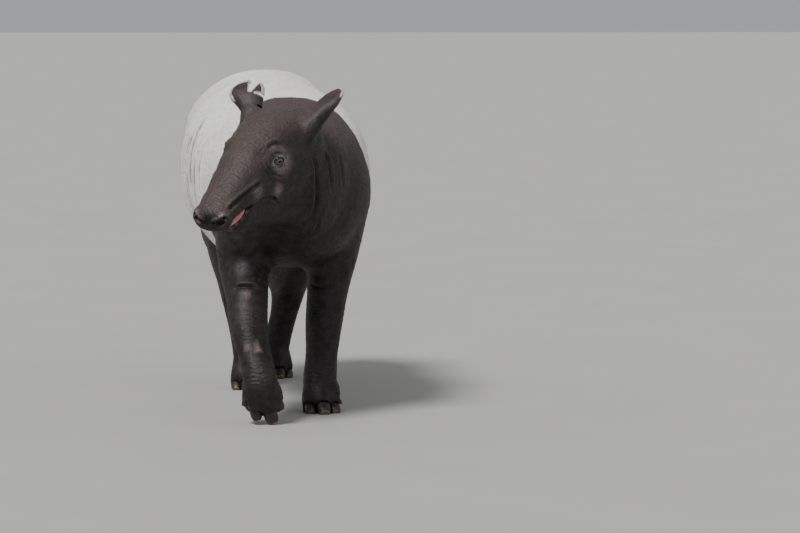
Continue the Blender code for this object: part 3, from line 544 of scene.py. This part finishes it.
# The hide's markings, measured for each point: where the white saddle lies, where the skin is brown, with
# painted top light on its upward faces and a painted highlight on the right forearm, where it is bare and
# mauve, with painted highlights on the upper lip, nostril rim and below the right elbow crease, where hair is
# white, painted shade in the ear cups and nostrils, and the surface's curve for painted shade and highlight.
# The front edge of the saddle runs from the withers to behind the elbow.

SADDLE_FRONT = {0.38: -0.01, 0.50: -0.05, 0.60: -0.10, 0.67: -0.165, 0.736: -0.235, 0.80: -0.265,
                0.86: -0.268, 0.91: -0.240, 0.955: -0.190, 1.03: -0.130}
THIGH_EDGE_START = (0.165, 0.270)
THIGH_EDGE_HEIGHT = 0.428
THIGH_EDGE_SLOPE = math.radians(26.5)
# The surface's curve, in 1/m, that counts as a full groove
FULL_GROOVE = 60


def measured(item, name, values):
    """Keeps a number for each point of the item, for its finish to read."""
    layer = item.data.attributes.new(name, "FLOAT", "POINT")
    layer.data.foreach_set("value", np.asarray(values, dtype=np.float32))


def measured_places(item, name, values):
    layer = item.data.attributes.new(name, "FLOAT_VECTOR", "POINT")
    layer.data.foreach_set("vector", np.asarray(values, dtype=np.float32).ravel())


points = points_of(hide)
normals = normals_of(hide)
edges = edges_of(hide)
head_share = head_share_of(points)
ear_share = ear_share_of(points)
markings = {}

behind = points[:, 1] - np.interp(points[:, 2], list(SADDLE_FRONT), list(SADDLE_FRONT.values()))
right_start, left_start = THIGH_EDGE_START
edge_start = right_start + (left_start - right_start) * ramp(points[:, 0], -0.10, 0.12)
above = ((points[:, 2] - THIGH_EDGE_HEIGHT) * math.cos(THIGH_EDGE_SLOPE)
         - (points[:, 1] - edge_start) * math.sin(THIGH_EDGE_SLOPE))
markings["saddle"] = np.minimum(behind * 0.93, above)

# Rosy bare skin round the eyes and mouth and pink scars on the forearm, with painted highlights on the upper
# lip, the nostril rim and below the right elbow crease
rosy = np.zeros(len(points))
for pixel, radius, share in [((281, 163), 0.034, 0.8), ((278, 190), 0.019, 0.7), ((258, 192), 0.024, 0.5),
                             ((222, 216), 0.010, 0.6), ((284, 152), 0.016, 0.5)]:
    for side in both([pixel]):
        rosy = np.maximum(rosy, share * spot(points, side[0], radius))
for place, radius, share in [(seen(245, 347), 0.007, 0.8), (seen(258, 348.6), 0.009, 0.9),
                             (seen(246, 293), 0.012, 0.5)]:
    rosy = np.maximum(rosy, share * spot(points, place, radius))
markings["rosy"] = rosy

# Brown-mauve hide tone, partly painted top light: browner and paler on the upward-facing surfaces of the head,
# neck and back, with a painted highlight on the right forearm
lift = normals[:, 2]
brown = 0.75 * head_share * ramp(lift, -0.30, 0.85)
brown = np.maximum(brown, 0.75 * ramp(points[:, 2], 0.60, 0.84) * ramp(lift, -0.3, 0.5) * (1 - head_share))
brown = np.maximum(brown, 0.40 * spot(points, seen(245, 312), 0.060))
markings["brown"] = brown

white = np.zeros(len(points))
# Painted shade: the cup of each ear and the nostrils are darkened near-black where shade falls
hollow = np.zeros(len(points))
lid_band = np.zeros(len(points))
for side, rim_width, rim_foot in ((LEFT, 0.0035, 0.110), (RIGHT, 0.0060, 0.050)):
    across, out, up = in_axes(points, ear_axes(side)).T
    heights, half, shift = EAR_BLADE[side]
    inside = np.interp(up, heights, half) - abs(across - np.interp(up, heights, shift))
    rim = ramp(-inside, -rim_width - 0.0020, -rim_width) * ramp(up, rim_foot, rim_foot + 0.020)
    rim += ramp(up, heights[-1] - rim_width - 0.0040, heights[-1] - rim_width)
    white = np.maximum(white, ear_share * (out < 0.03) * np.clip(rim, 0, 1))
    hollow = np.maximum(hollow, 0.6 * ear_share * ramp(out, 0.0, 0.006) * ramp(inside, 0.004, 0.012))
    reach, lid = lids_of(side, points)[1:]
    lid_band = np.maximum(lid_band, lid * ramp(reach, 1.05, 1.2) * ramp(-reach, -1.6, -1.4))
for across, up, half_width, slope in EAR_TEARS:
    tear = ear_axes(RIGHT) @ Matrix.Translation((across, 0, up)) @ Matrix.Rotation(math.radians(-slope), 4, "Y")
    run, _, off = in_axes(points, tear).T
    edge = abs(off) - half_width * (0.5 + 2.0 * run / TEAR_REACH)
    near_tear = ear_share * (run > -0.003) * (run < TEAR_REACH)
    white = np.maximum(white, near_tear * ramp(-edge, -0.0032, -0.0018))
# Painted shade in the nostrils
for side in both([(212, 223.5), (216, 222), (221, 220), (225, 218)]):
    for place in side:
        hollow = np.maximum(hollow, 1.1 * spot(points, place, 0.0055))
markings["white"] = white
markings["hollow"] = np.clip(hollow, 0, 1)
markings["lid_band"] = lid_band

pale_lip = np.zeros(len(points))
for side in both([(231, 227), (236, 223), (241, 218), (246, 211)]):
    for place in side:
        pale_lip = np.maximum(pale_lip, 0.55 * spot(points, place, 0.0055))
markings["pale_lip"] = pale_lip

# The surface's curve, for painted light: grooves and creases are painted darker as painted shade, and sharp
# ridges paler as painted highlight
curve = ((around_mean(points, edges) - points) * normals).sum(axis=1)
length = np.linalg.norm(points[edges[:, 0]] - points[edges[:, 1]], axis=1)
neighbours = np.maximum(np.bincount(edges.ravel(), minlength=len(points)), 1)
spacing = np.bincount(edges.ravel(), np.repeat(length, 2), len(points)) / neighbours
curve = curve / spacing**2
for _ in range(3):
    curve = around_mean(curve[:, None], edges)[:, 0]
markings["groove"] = np.clip(curve / FULL_GROOVE, -1, 1)

joints = np.zeros(len(points))
for place, radius in [((0.135, -0.235, 0.27), 0.06), ((-0.11, -0.50, 0.28), 0.05), ((0.12, -0.24, 0.11), 0.05),
                      ((-0.09, -0.58, 0.15), 0.05), ((0.09, 0.80, 0.29), 0.07), ((-0.09, 0.52, 0.29), 0.07)]:
    joints = np.maximum(joints, spot(points, place, radius))
markings["joints"] = joints
markings["head"] = head_share * (1 - ear_share)
for name, values in markings.items():
    measured(hide, name, values)
measured_places(hide, "on_head", in_axes(points, HEAD))


# The hide's finish. Living hide with short flat hair is near-black and faintly mauve, matt with a soft sheen,
# and paler where it is bare. Light is also painted in: painted top light browns the upward faces of the head
# and back, painted highlights pale the upper lip, nostril rims, right forearm and ridges, and painted shade
# darkens the grooves, ear cups and nostrils. The saddle is grey-white, and its edge is ragged by hair about
# 10 mm long.


def linear(code):
    """The linear colour of an sRGB hex code."""
    parts = [int(code[place:place + 2], 16) / 255 for place in (1, 3, 5)]
    parts = [part / 12.92 if part <= 0.04045 else ((part + 0.055) / 1.055) ** 2.4 for part in parts]
    return (*parts, 1.0)


def add_node(tree, kind, inputs, output=0, **settings):
    """Adds a node with its settings, links or sets its inputs, and gives the output asked for."""
    made = tree.nodes.new("ShaderNode" + kind)
    for setting, value in settings.items():
        setattr(made, setting, value)
    for socket, value in inputs.items():
        if isinstance(value, bpy.types.NodeSocket):
            tree.links.new(value, made.inputs[socket])
        else:
            made.inputs[socket].default_value = value
    return made.outputs[output]


def new_finish(name, **sockets):
    """A material, its tree and its shader's inputs, with the numbers that are the same all over set on them."""
    made = bpy.data.materials.new(name)
    made.use_nodes = True
    shader = made.node_tree.nodes["Principled BSDF"]
    for socket, value in sockets.items():
        shader.inputs[socket.replace("_", " ")].default_value = value
    return made, made.node_tree, shader.inputs


hide_finish, tree, shader = new_finish("short_haired_tapir_hide", Specular_IOR_Level=0.3)
place = add_node(tree, "TexCoord", {}, "Object")
mark = {name: add_node(tree, "Attribute", {}, "Fac", attribute_name=name) for name in markings}
on_head = add_node(tree, "Attribute", {}, "Vector", attribute_name="on_head")

# Hair lies back along the body, so its streaks are 2 mm wide and 9 mm long. The saddle's dark specks are about
# 45 mm apart.
streaks = add_node(tree, "Mapping", {"Vector": place, "Scale": (500, 110, 300)})
hair = add_node(tree, "TexNoise", {"Vector": streaks, "Scale": 1.0, "Detail": 2.0})
broad = add_node(tree, "TexNoise", {"Vector": place, "Scale": 7.0, "Detail": 3.0})
blotches = add_node(tree, "TexNoise", {"Vector": place, "Scale": 45.0, "Detail": 4.0})
speckle = add_node(tree, "TexNoise", {"Vector": place, "Scale": 160.0, "Detail": 3.0})
specks = add_node(tree, "TexVoronoi", {"Vector": place, "Scale": 22.0}, "Distance")
pebbles = add_node(tree, "TexVoronoi", {"Vector": on_head, "Scale": 150.0}, "Distance", feature="SMOOTH_F1")
rings = add_node(tree, "Mapping", {"Vector": on_head, "Scale": (14, 150, 14)})
rings = add_node(tree, "TexNoise", {"Vector": rings, "Scale": 1.0, "Detail": 2.0})

ragged = add_node(tree, "Math", {0: hair, 1: 0.024, 2: mark["saddle"]}, operation="MULTIPLY_ADD")
ragged = add_node(tree, "Math", {0: broad, 1: 0.030, 2: ragged}, operation="MULTIPLY_ADD")
saddle_share = add_node(tree, "MapRange", {0: ragged, 1: 0.024, 2: 0.032})

# Each layer of colour: what it follows, from where to where, how much of it at most, and its colour
# Rosy speckle on bare skin, partly painted highlight
bare_skin_and_highlights = add_node(tree, "Math", {0: speckle, 1: mark["rosy"]}, operation="MULTIPLY")
freckles_and_top_light = add_node(tree, "Math", {0: speckle, 1: mark["brown"]}, operation="MULTIPLY")
DARK_LAYERS = [
    (broad, 0.35, 0.65, 1.0, "#211c1c"),
    (blotches, 0.40, 0.70, 0.8, "#322a2b"),
    # Brown hide tone, partly painted top light and a painted forearm highlight
    (mark["brown"], 0.0, 1.0, 0.85, "#4b403c"),
    # Pale freckles where the hide is brown, so partly painted top light
    (freckles_and_top_light, 0.30, 0.60, 0.4, "#6d5f5b"),
    # Bare rosy skin and scars, partly painted highlights
    (bare_skin_and_highlights, 0.02, 0.55, 1.0, "#8a7478"),
    # Painted highlight on sharp ridges
    (mark["groove"], -0.15, -0.9, 0.22, "#75686a"),
    # Painted shade in grooves and creases
    (mark["groove"], 0.10, 0.75, 0.85, "#070505"),
    (mark["lid_band"], 0.0, 1.0, 0.75, "#8d8386"),
    (mark["pale_lip"], 0.0, 1.0, 1.0, "#9a8d8a"),
    # Painted shade in the ear cups and nostrils
    (mark["hollow"], 0.0, 1.0, 1.0, "#060404"),
]
PALE_LAYERS = [
    (broad, 0.35, 0.65, 1.0, "#efeeea"),
    (blotches, 0.45, 0.75, 0.40, "#c6c3bb"),
    (specks, 0.075, 0.045, 0.85, "#3d3835"),
    # Painted shade in the saddle's creases
    (mark["groove"], 0.04, 0.32, 0.85, "#757167"),
]
coats = []
for ground, layers in (("#0f0d0d", DARK_LAYERS), ("#dfddd7", PALE_LAYERS)):
    colour = linear(ground)
    for follows, start, end, most, code in layers:
        share = add_node(tree, "MapRange", {0: follows, 1: start, 2: end, 4: most})
        colour = add_node(tree, "Mix", {0: share, 6: colour, 7: linear(code)}, 2, data_type="RGBA")
    coats.append(colour)
colour = add_node(tree, "Mix", {0: saddle_share, 6: coats[0], 7: coats[1]}, 2, data_type="RGBA")
colour = add_node(tree, "Mix", {0: mark["white"], 6: colour, 7: linear("#e6e4df")}, 2, data_type="RGBA")
tree.links.new(colour, shader["Base Color"])
gloss = add_node(tree, "MapRange", {0: saddle_share, 3: 0.52, 4: 0.80})
gloss = add_node(tree, "Math", {0: mark["rosy"], 1: -0.12, 2: gloss}, operation="MULTIPLY_ADD")
tree.links.new(gloss, shader["Roughness"])

# Pebbled skin on the face, drawn 7 mm across where it is 3 mm on the animal, as finer wouldn't show, short
# wrinkles across the proboscis, wrinkles round the joints, pores, and the lie of the hair
wrinkles = add_node(tree, "TexWave", {"Vector": place, "Scale": 24.0, "Distortion": 7.0, "Detail": 3.0,
                                      "Detail Scale": 1.6}, "Fac", bands_direction="Z")
RELIEFS = [(pebbles, mark["head"], 0.0034, 0.65), (speckle, mark["head"], 0.0022, 0.60),
           (rings, mark["head"], 0.0036, 0.55), (wrinkles, mark["joints"], 0.0035, 0.45),
           (blotches, 1.0, 0.0022, 0.35), (hair, 1.0, 0.0009, 0.6)]
relief = None
for height, where, depth, strength in RELIEFS:
    height = add_node(tree, "Math", {0: height, 1: where}, operation="MULTIPLY")
    inputs = {"Height": height, "Distance": depth, "Strength": strength}
    if relief is not None:
        inputs["Normal"] = relief
    relief = add_node(tree, "Bump", inputs)
tree.links.new(relief, shader["Normal"])

hide.data.materials.append(hide_finish)
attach(hide, "root")
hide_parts(*FLESH)


# The coat: short flat hair in fine tufts that lie back along the body and down the legs, and just break its
# outline. The ears are rimmed with white hair and the tail ends in a small tuft. Each tuft is a closed spike.

UNWRAP_TRIANGLES = 9000
TUFT_PATCH = 0.003
COAT_TUFTS = 44_000
EAR_RIM_TUFTS = 2600
TAIL_TUFTS = 420

corners = corners_of(hide).reshape(-1, 3)
unwrap = bpy.data.objects.new("unwrap", hide.data.copy())
bpy.context.scene.collection.objects.link(unwrap)
modified(unwrap, "DECIMATE", ratio=UNWRAP_TRIANGLES / len(corners))
modified(unwrap, "TRIANGULATE")
edited(unwrap, (bpy.ops.uv.smart_project, {"angle_limit": math.radians(66), "island_margin": 0.003}))
unwrap_tree = BVHTree.FromObject(unwrap, bpy.context.evaluated_depsgraph_get())
unwrap_points = points_of(unwrap)
unwrap_corners = corners_of(unwrap).reshape(-1, 3)
unwrap_places = np.empty(len(unwrap.data.loops) * 2)
unwrap.data.uv_layers.active.data.foreach_get("uv", unwrap_places)
unwrap_places = unwrap_places.reshape(-1, 3, 2)
bpy.data.objects.remove(unwrap)


def unwrapped(roots):
    """Where each root lies on the unwrap of the hide."""
    hits = [unwrap_tree.find_nearest(Vector(root)) for root in roots]
    nearest = np.array([hit[0] for hit in hits])
    face = np.array([hit[2] for hit in hits])
    a, b, c = (unwrap_points[unwrap_corners[face, corner]] for corner in range(3))
    square = np.cross(b - a, c - a)
    area = np.maximum((square**2).sum(axis=1), 1e-20)
    share_b = (np.cross(nearest - a, c - a) * square).sum(axis=1) / area
    share_c = (np.cross(b - a, nearest - a) * square).sum(axis=1) / area
    shares = np.stack([1 - share_b - share_c, share_b, share_c], axis=1)
    return (shares[:, :, None] * unwrap_places[face]).sum(axis=1)


def coat_of(name, count, seed, density, lie, rise, length, width):
    """Tufts sown on the hide by density. Each lies along lie, tilted up by rise degrees."""
    generator = np.random.default_rng(seed)
    a, b, c = (points[corners[:, corner]] for corner in range(3))
    odds = np.linalg.norm(np.cross(b - a, c - a), axis=1) * density[corners].mean(axis=1)
    face = generator.choice(len(corners), size=count, p=odds / odds.sum())
    first, second = generator.random((2, count))
    over = first + second > 1
    first[over], second[over] = 1 - first[over], 1 - second[over]
    shares = np.stack([1 - first - second, first, second], axis=1)[:, :, None]
    root = (points[corners[face]] * shares).sum(axis=1)
    normal = (normals[corners[face]] * shares).sum(axis=1)
    normal /= np.linalg.norm(normal, axis=1)[:, None]
    run = (lie[corners[face]] * shares).sum(axis=1) + 0.22 * generator.normal(size=(count, 3))
    run -= normal * (run * normal).sum(axis=1)[:, None]
    run /= np.maximum(np.linalg.norm(run, axis=1), 1e-9)[:, None]
    tilt = np.radians(rise * generator.uniform(0.5, 1.6, count))[:, None]
    far = (length[corners[face]].mean(axis=1) * generator.uniform(0.7, 1.25, count))[:, None]
    aside = np.cross(normal, run) * (width / 2)
    sunk = root - 0.4 * width * normal
    crown = sunk + 0.8 * width * normal + 0.15 * far * run
    tip = root + far * (np.cos(tilt) * run + np.sin(tilt) * normal)
    places = np.stack([sunk + aside, sunk - aside, crown, tip], axis=1).reshape(-1, 3)
    faces = np.array([[0, 3, 1], [1, 3, 2], [2, 3, 0], [0, 1, 2]]) + 4 * np.arange(count)[:, None, None]
    faces = faces.reshape(-1, 3)
    mesh = bpy.data.meshes.new(name)
    mesh.from_pydata(places, [], faces.tolist())
    coat = bpy.data.objects.new(name, mesh)
    bpy.context.scene.collection.objects.link(coat)
    for marking, values in markings.items():
        measured(coat, marking, np.repeat((values[corners[face]] * shares[:, :, 0]).sum(axis=1), 4))
    measured_places(coat, "on_head", in_axes(places, HEAD))
    spread = TUFT_PATCH * np.array([[0, 0], [1, 0], [0.5, 1], [0.5, 0.5]])
    patches = (unwrapped(root)[:, None] + spread).reshape(-1, 2)
    bake = mesh.uv_layers.new(name="OFBake")
    bake.data.foreach_set("uv", patches[faces.ravel()].ravel().astype(np.float32))
    picked(coat)
    bpy.ops.object.shade_smooth()
    mesh.materials.append(hide_finish)
    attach(coat, "root")


on_legs = 1 - ramp(points[:, 2], 0.34, 0.46)
face_share = head_share * ramp(-in_axes(points, HEAD)[:, 1], 0.02, 0.25)
back_along_head = np.array(HEAD_TURN @ Vector((0, 1, 0)))
lie = np.array([0, 1, -0.45]) * (1 - on_legs)[:, None] + np.array([0, 0.15, -1]) * on_legs[:, None]
lie = lie * (1 - head_share)[:, None] + back_along_head * head_share[:, None]

# Round the eyes, in the nostrils, on the nose and lips and on the soles the skin is bare
naked = eye_share_of(points, 0.030) + markings["hollow"] + markings["pale_lip"] + ramp(face_share, 0.75, 1.0)
naked += 1 - ramp(points[:, 2], 0.016, 0.024)
density = (1 - np.clip(naked, 0, 1)) * (1 - 0.6 * head_share) * (1 - ear_share)
coat_of("short_coat", COAT_TUFTS, 3, density, lie, 11, 0.0095 - 0.0050 * head_share - 0.0030 * on_legs, 0.0011)

ears_out = np.zeros_like(points)
for side in (LEFT, RIGHT):
    axes = ear_axes(side)
    local = in_axes(points, axes)
    nearer = np.linalg.norm(local, axis=1) < 0.20
    local -= np.array([0, 0, 0.060])
    local[:, 1] = 0
    ears_out[nearer] = (local @ np.array(axes)[:3, :3].T)[nearer]
ears_out /= np.maximum(np.linalg.norm(ears_out, axis=1), 1e-6)[:, None]
coat_of("white_ear_rim_hair", EAR_RIM_TUFTS, 5, ear_share * ramp(markings["white"], 0.4, 0.8), ears_out, 22,
        np.full(len(points), 0.0065), 0.0008)

tail_low, tail_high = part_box("tail")
tail_end = (Vector(tail_low) + Vector(tail_high)) / 2
tail_end.z = tail_low[2] + 0.012
hanging = np.tile(np.array([0, 0.1, -1.0]), (len(points), 1))
coat_of("tail_tuft", TAIL_TUFTS, 9, spot(points, tail_end, 0.020), hanging, 14,
        np.full(len(points), 0.020), 0.0011)


# The eyes: wet globes with a grey-brown iris and a horizontal oval pupil, under a clear cornea that stands a
# little proud. The bare black edge of the lids lies on them as a moist rim.

IRIS_RADIUS = 0.0108
CORNEA_RISE = 0.0009
RIM_STEPS = 72
RIM_TUBE = 0.1
RIM_LIFT = 0.0008
RIM_THICK = 0.0018
RIM_THICKER = 0.0010


def eyeball(side, name):
    bpy.ops.object.select_all(action="DESELECT")
    bpy.ops.mesh.primitive_uv_sphere_add(segments=64, ring_count=40, radius=EYE_RADIUS)
    ball = bpy.context.active_object
    ball.name = name
    places = points_of(ball)
    measured_places(ball, "on_eye", places)
    off_axis = np.linalg.norm(places[:, :2], axis=1)
    dome = (places[:, 2] > 0) * (1 - ramp(off_axis, 0.5 * IRIS_RADIUS, 1.15 * IRIS_RADIUS))
    places *= (1 + CORNEA_RISE / EYE_RADIUS * dome)[:, None]
    set_points(ball, places)
    ball.data.transform(eye_axes(side))
    bpy.ops.object.shade_smooth()
    return ball


def lid_edge(side, name):
    """A rim round the almond slit, thicker on the upper lid."""
    path = []
    thick = []
    for step in range(RIM_STEPS):
        turn = 2 * math.pi * step / RIM_STEPS
        x = math.copysign(abs(math.cos(turn)) ** (2 / ALMOND), math.cos(turn)) * SLIT_HALF
        y = math.copysign(abs(math.sin(turn)) ** (2 / ALMOND), math.sin(turn))
        y *= SLIT_UP if y > 0 else SLIT_DOWN
        path.append(Vector((x, y, math.sqrt(max((EYE_RADIUS + RIM_LIFT) ** 2 - x * x - y * y, 1e-9)))))
        thick.append(RIM_THICK + RIM_THICKER * max(math.sin(turn), 0))
    bpy.ops.object.select_all(action="DESELECT")
    bpy.ops.mesh.primitive_torus_add(major_segments=RIM_STEPS, minor_segments=12, major_radius=1,
                                     minor_radius=RIM_TUBE)
    rim = bpy.context.active_object
    rim.name = name
    places = []
    for x, y, z in points_of(rim):
        step = round(math.atan2(y, x) / (2 * math.pi) * RIM_STEPS) % RIM_STEPS
        ahead = (path[(step + 1) % RIM_STEPS] - path[step - 1]).normalized()
        outward = path[step].normalized()
        ring = (math.hypot(x, y) - 1) / RIM_TUBE
        places.append(path[step] + (ahead.cross(outward) * ring + outward * (z / RIM_TUBE)) * thick[step])
    set_points(rim, np.array(places))
    rim.data.transform(eye_axes(side))
    edited(rim, (bpy.ops.mesh.normals_make_consistent, {"inside": False}))
    bpy.ops.object.shade_smooth()
    return rim


# A wet eye: grey-brown iris with fine spokes, black pupil and limbus, mirror gloss from its film of tears
eye_finish, tree, shader = new_finish("wet_brown_eye", Roughness=0.06, IOR=1.38)
on_eye = add_node(tree, "Attribute", {}, "Vector", attribute_name="on_eye")
flat = add_node(tree, "VectorMath", {0: on_eye, 1: (1, 1, 0)}, operation="MULTIPLY")
off_axis = add_node(tree, "VectorMath", {0: flat}, "Value", operation="LENGTH")
oval = add_node(tree, "VectorMath", {0: flat, 1: (0.55, 1, 0)}, operation="MULTIPLY")
oval = add_node(tree, "VectorMath", {0: oval}, "Value", operation="LENGTH")
spokes = add_node(tree, "Mapping", {"Vector": on_eye, "Scale": (800, 800, 60)})
spokes = add_node(tree, "TexNoise", {"Vector": spokes, "Scale": 1.0, "Detail": 3.0})
colour = linear("#4a3a30")
for follows, start, end, code in [(spokes, 0.35, 0.65, "#766963"), (off_axis, 0.0090, 0.0106, "#0e0a09"),
                                  (oval, 0.0036, 0.0030, "#030202"), (off_axis, 0.0130, 0.0150, "#231b1a")]:
    share = add_node(tree, "MapRange", {0: follows, 1: start, 2: end})
    colour = add_node(tree, "Mix", {0: share, 6: colour, 7: linear(code)}, 2, data_type="RGBA")
tree.links.new(colour, shader["Base Color"])

# The bare edge of the lids: moist near-black skin with a satin gloss
lid_finish, tree, shader = new_finish("moist_lid_edge", Roughness=0.28)
place = add_node(tree, "TexCoord", {}, "Object")
mottle = add_node(tree, "TexNoise", {"Vector": place, "Scale": 240.0})
colour = add_node(tree, "Mix", {0: mottle, 6: linear("#080606"), 7: linear("#1c1517")}, 2, data_type="RGBA")
tree.links.new(colour, shader["Base Color"])

for side, name in ((LEFT, "left"), (RIGHT, "right")):
    ball = eyeball(side, f"eyeball_{name}")
    ball.data.materials.append(eye_finish)
    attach(ball, "root")
    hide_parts(f"eye_{name}")
    rim = lid_edge(side, f"lid_edge_{name}")
    rim.data.materials.append(lid_finish)
    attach(rim, "root")


# The tongue: a flat moist muscle that fills the parted lips, with a shallow groove along its middle and fine
# bumps all over.

TONGUE_GRAIN = 0.0012
TONGUE_SPREAD = (1.22, 1.20, 1.70)
TONGUE_FORWARD = 0.012
TONGUE_GROOVE_DEPTH = 0.0012
TONGUE_GROOVE_WIDTH = 0.003

tongue = merged_copy("tongue_flesh", "tongue")
modified(tongue, "REMESH", mode="VOXEL", voxel_size=TONGUE_GRAIN)
largest_surface(tongue)
evened(tongue, 12)
local = in_axes(points_of(tongue), HEAD)
middle = (local.min(axis=0) + local.max(axis=0)) / 2
local = middle + (local - middle) * np.array(TONGUE_SPREAD)
local[:, 1] -= TONGUE_FORWARD
groove = TONGUE_GROOVE_DEPTH * np.exp(-(local[:, 0] / TONGUE_GROOVE_WIDTH) ** 2)
local[:, 2] -= groove * (local[:, 2] > middle[2])
set_points(tongue, out_of_axes(local, HEAD))
picked(tongue)
bpy.ops.object.shade_smooth()

# Living tongue: pink flesh that light enters a little, wet, with papillae about 1.5 mm apart
tongue_finish, tree, shader = new_finish("moist_pink_tongue", Roughness=0.32, Subsurface_Weight=0.15,
                                         Subsurface_Scale=0.004)
place = add_node(tree, "TexCoord", {}, "Object")
mottle = add_node(tree, "TexNoise", {"Vector": place, "Scale": 90.0, "Detail": 4.0})
colour = add_node(tree, "Mix", {0: mottle, 6: linear("#b25f66"), 7: linear("#d08f90")}, 2, data_type="RGBA")
tree.links.new(colour, shader["Base Color"])
papillae = add_node(tree, "TexVoronoi", {"Vector": place, "Scale": 620.0}, "Distance")
relief = add_node(tree, "Bump", {"Height": papillae, "Distance": 0.0006, "Strength": 0.5})
tree.links.new(relief, shader["Normal"])
tongue.data.materials.append(tongue_finish)
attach(tongue, "root")
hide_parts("tongue")


# The hooves: a nail of dark horn round each toe's tip, four on a forefoot and three on a hindfoot. Horn grows
# down from the hair line in faint rings and wears pale at its edge.

HORN_GRAIN = 0.0014
HOOF_RUN = Vector((0, -0.83, -0.56)).normalized()
# How far each foot's toes are turned down, out and over, in degrees
FOOT_TURNS = {"fore_left": (0, 4, 0), "fore_right": (60, -16, -20),
              "hind_left": (0, 6, 0), "hind_right": (0, 6, 0)}

# Dark horn: brown-black keratin, satin, streaked down its growth and chipped paler within 5 mm of its edge
horn_finish, tree, shader = new_finish("dark_hoof_horn", Roughness=0.42)
on_hoof = add_node(tree, "Attribute", {}, "Vector", attribute_name="on_hoof")
to_edge = add_node(tree, "Attribute", {}, "Fac", attribute_name="to_edge")
from_hair = add_node(tree, "Attribute", {}, "Fac", attribute_name="from_hair")
grain = add_node(tree, "Mapping", {"Vector": on_hoof, "Scale": (600, 600, 80)})
grain = add_node(tree, "TexNoise", {"Vector": grain, "Scale": 1.0, "Detail": 3.0})
rings = add_node(tree, "TexWave", {"Vector": on_hoof, "Scale": 70.0, "Distortion": 1.5}, "Fac",
                 bands_direction="Z")
chipped = add_node(tree, "Math", {0: grain, 1: 0.007, 2: to_edge}, operation="MULTIPLY_ADD")
colour = linear("#1a1614")
for follows, start, end, most, code in [(grain, 0.35, 0.70, 1.0, "#332b26"),
                                        (chipped, 0.0080, 0.0045, 0.8, "#75664f"),
                                        (from_hair, 0.0040, 0.0010, 0.4, "#6f6258")]:
    share = add_node(tree, "MapRange", {0: follows, 1: start, 2: end, 4: most})
    colour = add_node(tree, "Mix", {0: share, 6: colour, 7: linear(code)}, 2, data_type="RGBA")
tree.links.new(colour, shader["Base Color"])
relief = add_node(tree, "Bump", {"Height": grain, "Distance": 0.0006, "Strength": 0.5})
relief = add_node(tree, "Bump", {"Height": rings, "Distance": 0.0006, "Strength": 0.5, "Normal": relief})
tree.links.new(relief, shader["Normal"])

for node in sorted(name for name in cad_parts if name.startswith("hoof")):
    nail = merged_copy(node.replace("hoof", "nail"), node)
    modified(nail, "REMESH", mode="VOXEL", voxel_size=HORN_GRAIN)
    largest_surface(nail)
    evened(nail, 10)
    foot = "_".join(node.split("_")[1:3])
    side = LEFT if foot.endswith("left") else RIGHT
    down, out, lean = FOOT_TURNS[foot]
    turn = (Matrix.Rotation(math.radians(-lean * side), 3, "Y")
            @ Matrix.Rotation(math.radians(out * side), 3, "Z")
            @ Matrix.Rotation(math.radians(down), 3, "X"))
    along = turn @ HOOF_RUN
    across = turn @ Vector((1, 0, 0))
    places = points_of(nail) - points_of(nail).mean(axis=0)
    axes = np.array([across, along.cross(across), along])
    on_nail = places @ axes.T
    measured(nail, "to_edge", on_nail[:, 2].max() - on_nail[:, 2])
    measured(nail, "from_hair", on_nail[:, 2] - on_nail[:, 2].min())
    measured_places(nail, "on_hoof", on_nail)
    picked(nail)
    bpy.ops.object.shade_smooth()
    nail.data.materials.append(horn_finish)
    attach(nail, "root")
    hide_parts(node)


# The stage: a plain pale floor under soft studio light, with the key high on the left.

FLOOR_SIZE = 300

bpy.ops.object.select_all(action="DESELECT")
bpy.ops.mesh.primitive_plane_add(size=FLOOR_SIZE)
floor = bpy.context.active_object
floor.name = "floor"
floor_finish, tree, shader = new_finish("pale_painted_floor", Roughness=0.75, Specular_IOR_Level=0.2)
place = add_node(tree, "TexCoord", {}, "Object")
mottle = add_node(tree, "TexNoise", {"Vector": place, "Scale": 2.0})
colour = add_node(tree, "Mix", {0: mottle, 6: linear("#adaca8"), 7: linear("#b2b1ad")}, 2, data_type="RGBA")
tree.links.new(colour, shader["Base Color"])
floor.data.materials.append(floor_finish)


def soft_sun(name, direction, strength, softness):
    """A broad even light from a direction, as from a large frame far off."""
    lamp = bpy.data.lights.new(name, "SUN")
    lamp.energy = strength
    lamp.angle = math.radians(softness)
    holder = bpy.data.objects.new(name, lamp)
    holder.rotation_euler = Vector(direction).to_track_quat("Z", "Y").to_euler()
    bpy.context.scene.collection.objects.link(holder)


soft_sun("key", (-0.45, -0.60, 0.95), 3.4, 14)
soft_sun("fill", (0.80, -0.70, 0.40), 0.35, 60)

world = bpy.data.worlds.new("studio")
world.use_nodes = True
world.node_tree.nodes["Background"].inputs["Color"].default_value = linear("#dcdee0")
world.node_tree.nodes["Background"].inputs["Strength"].default_value = 0.55
bpy.context.scene.world = world
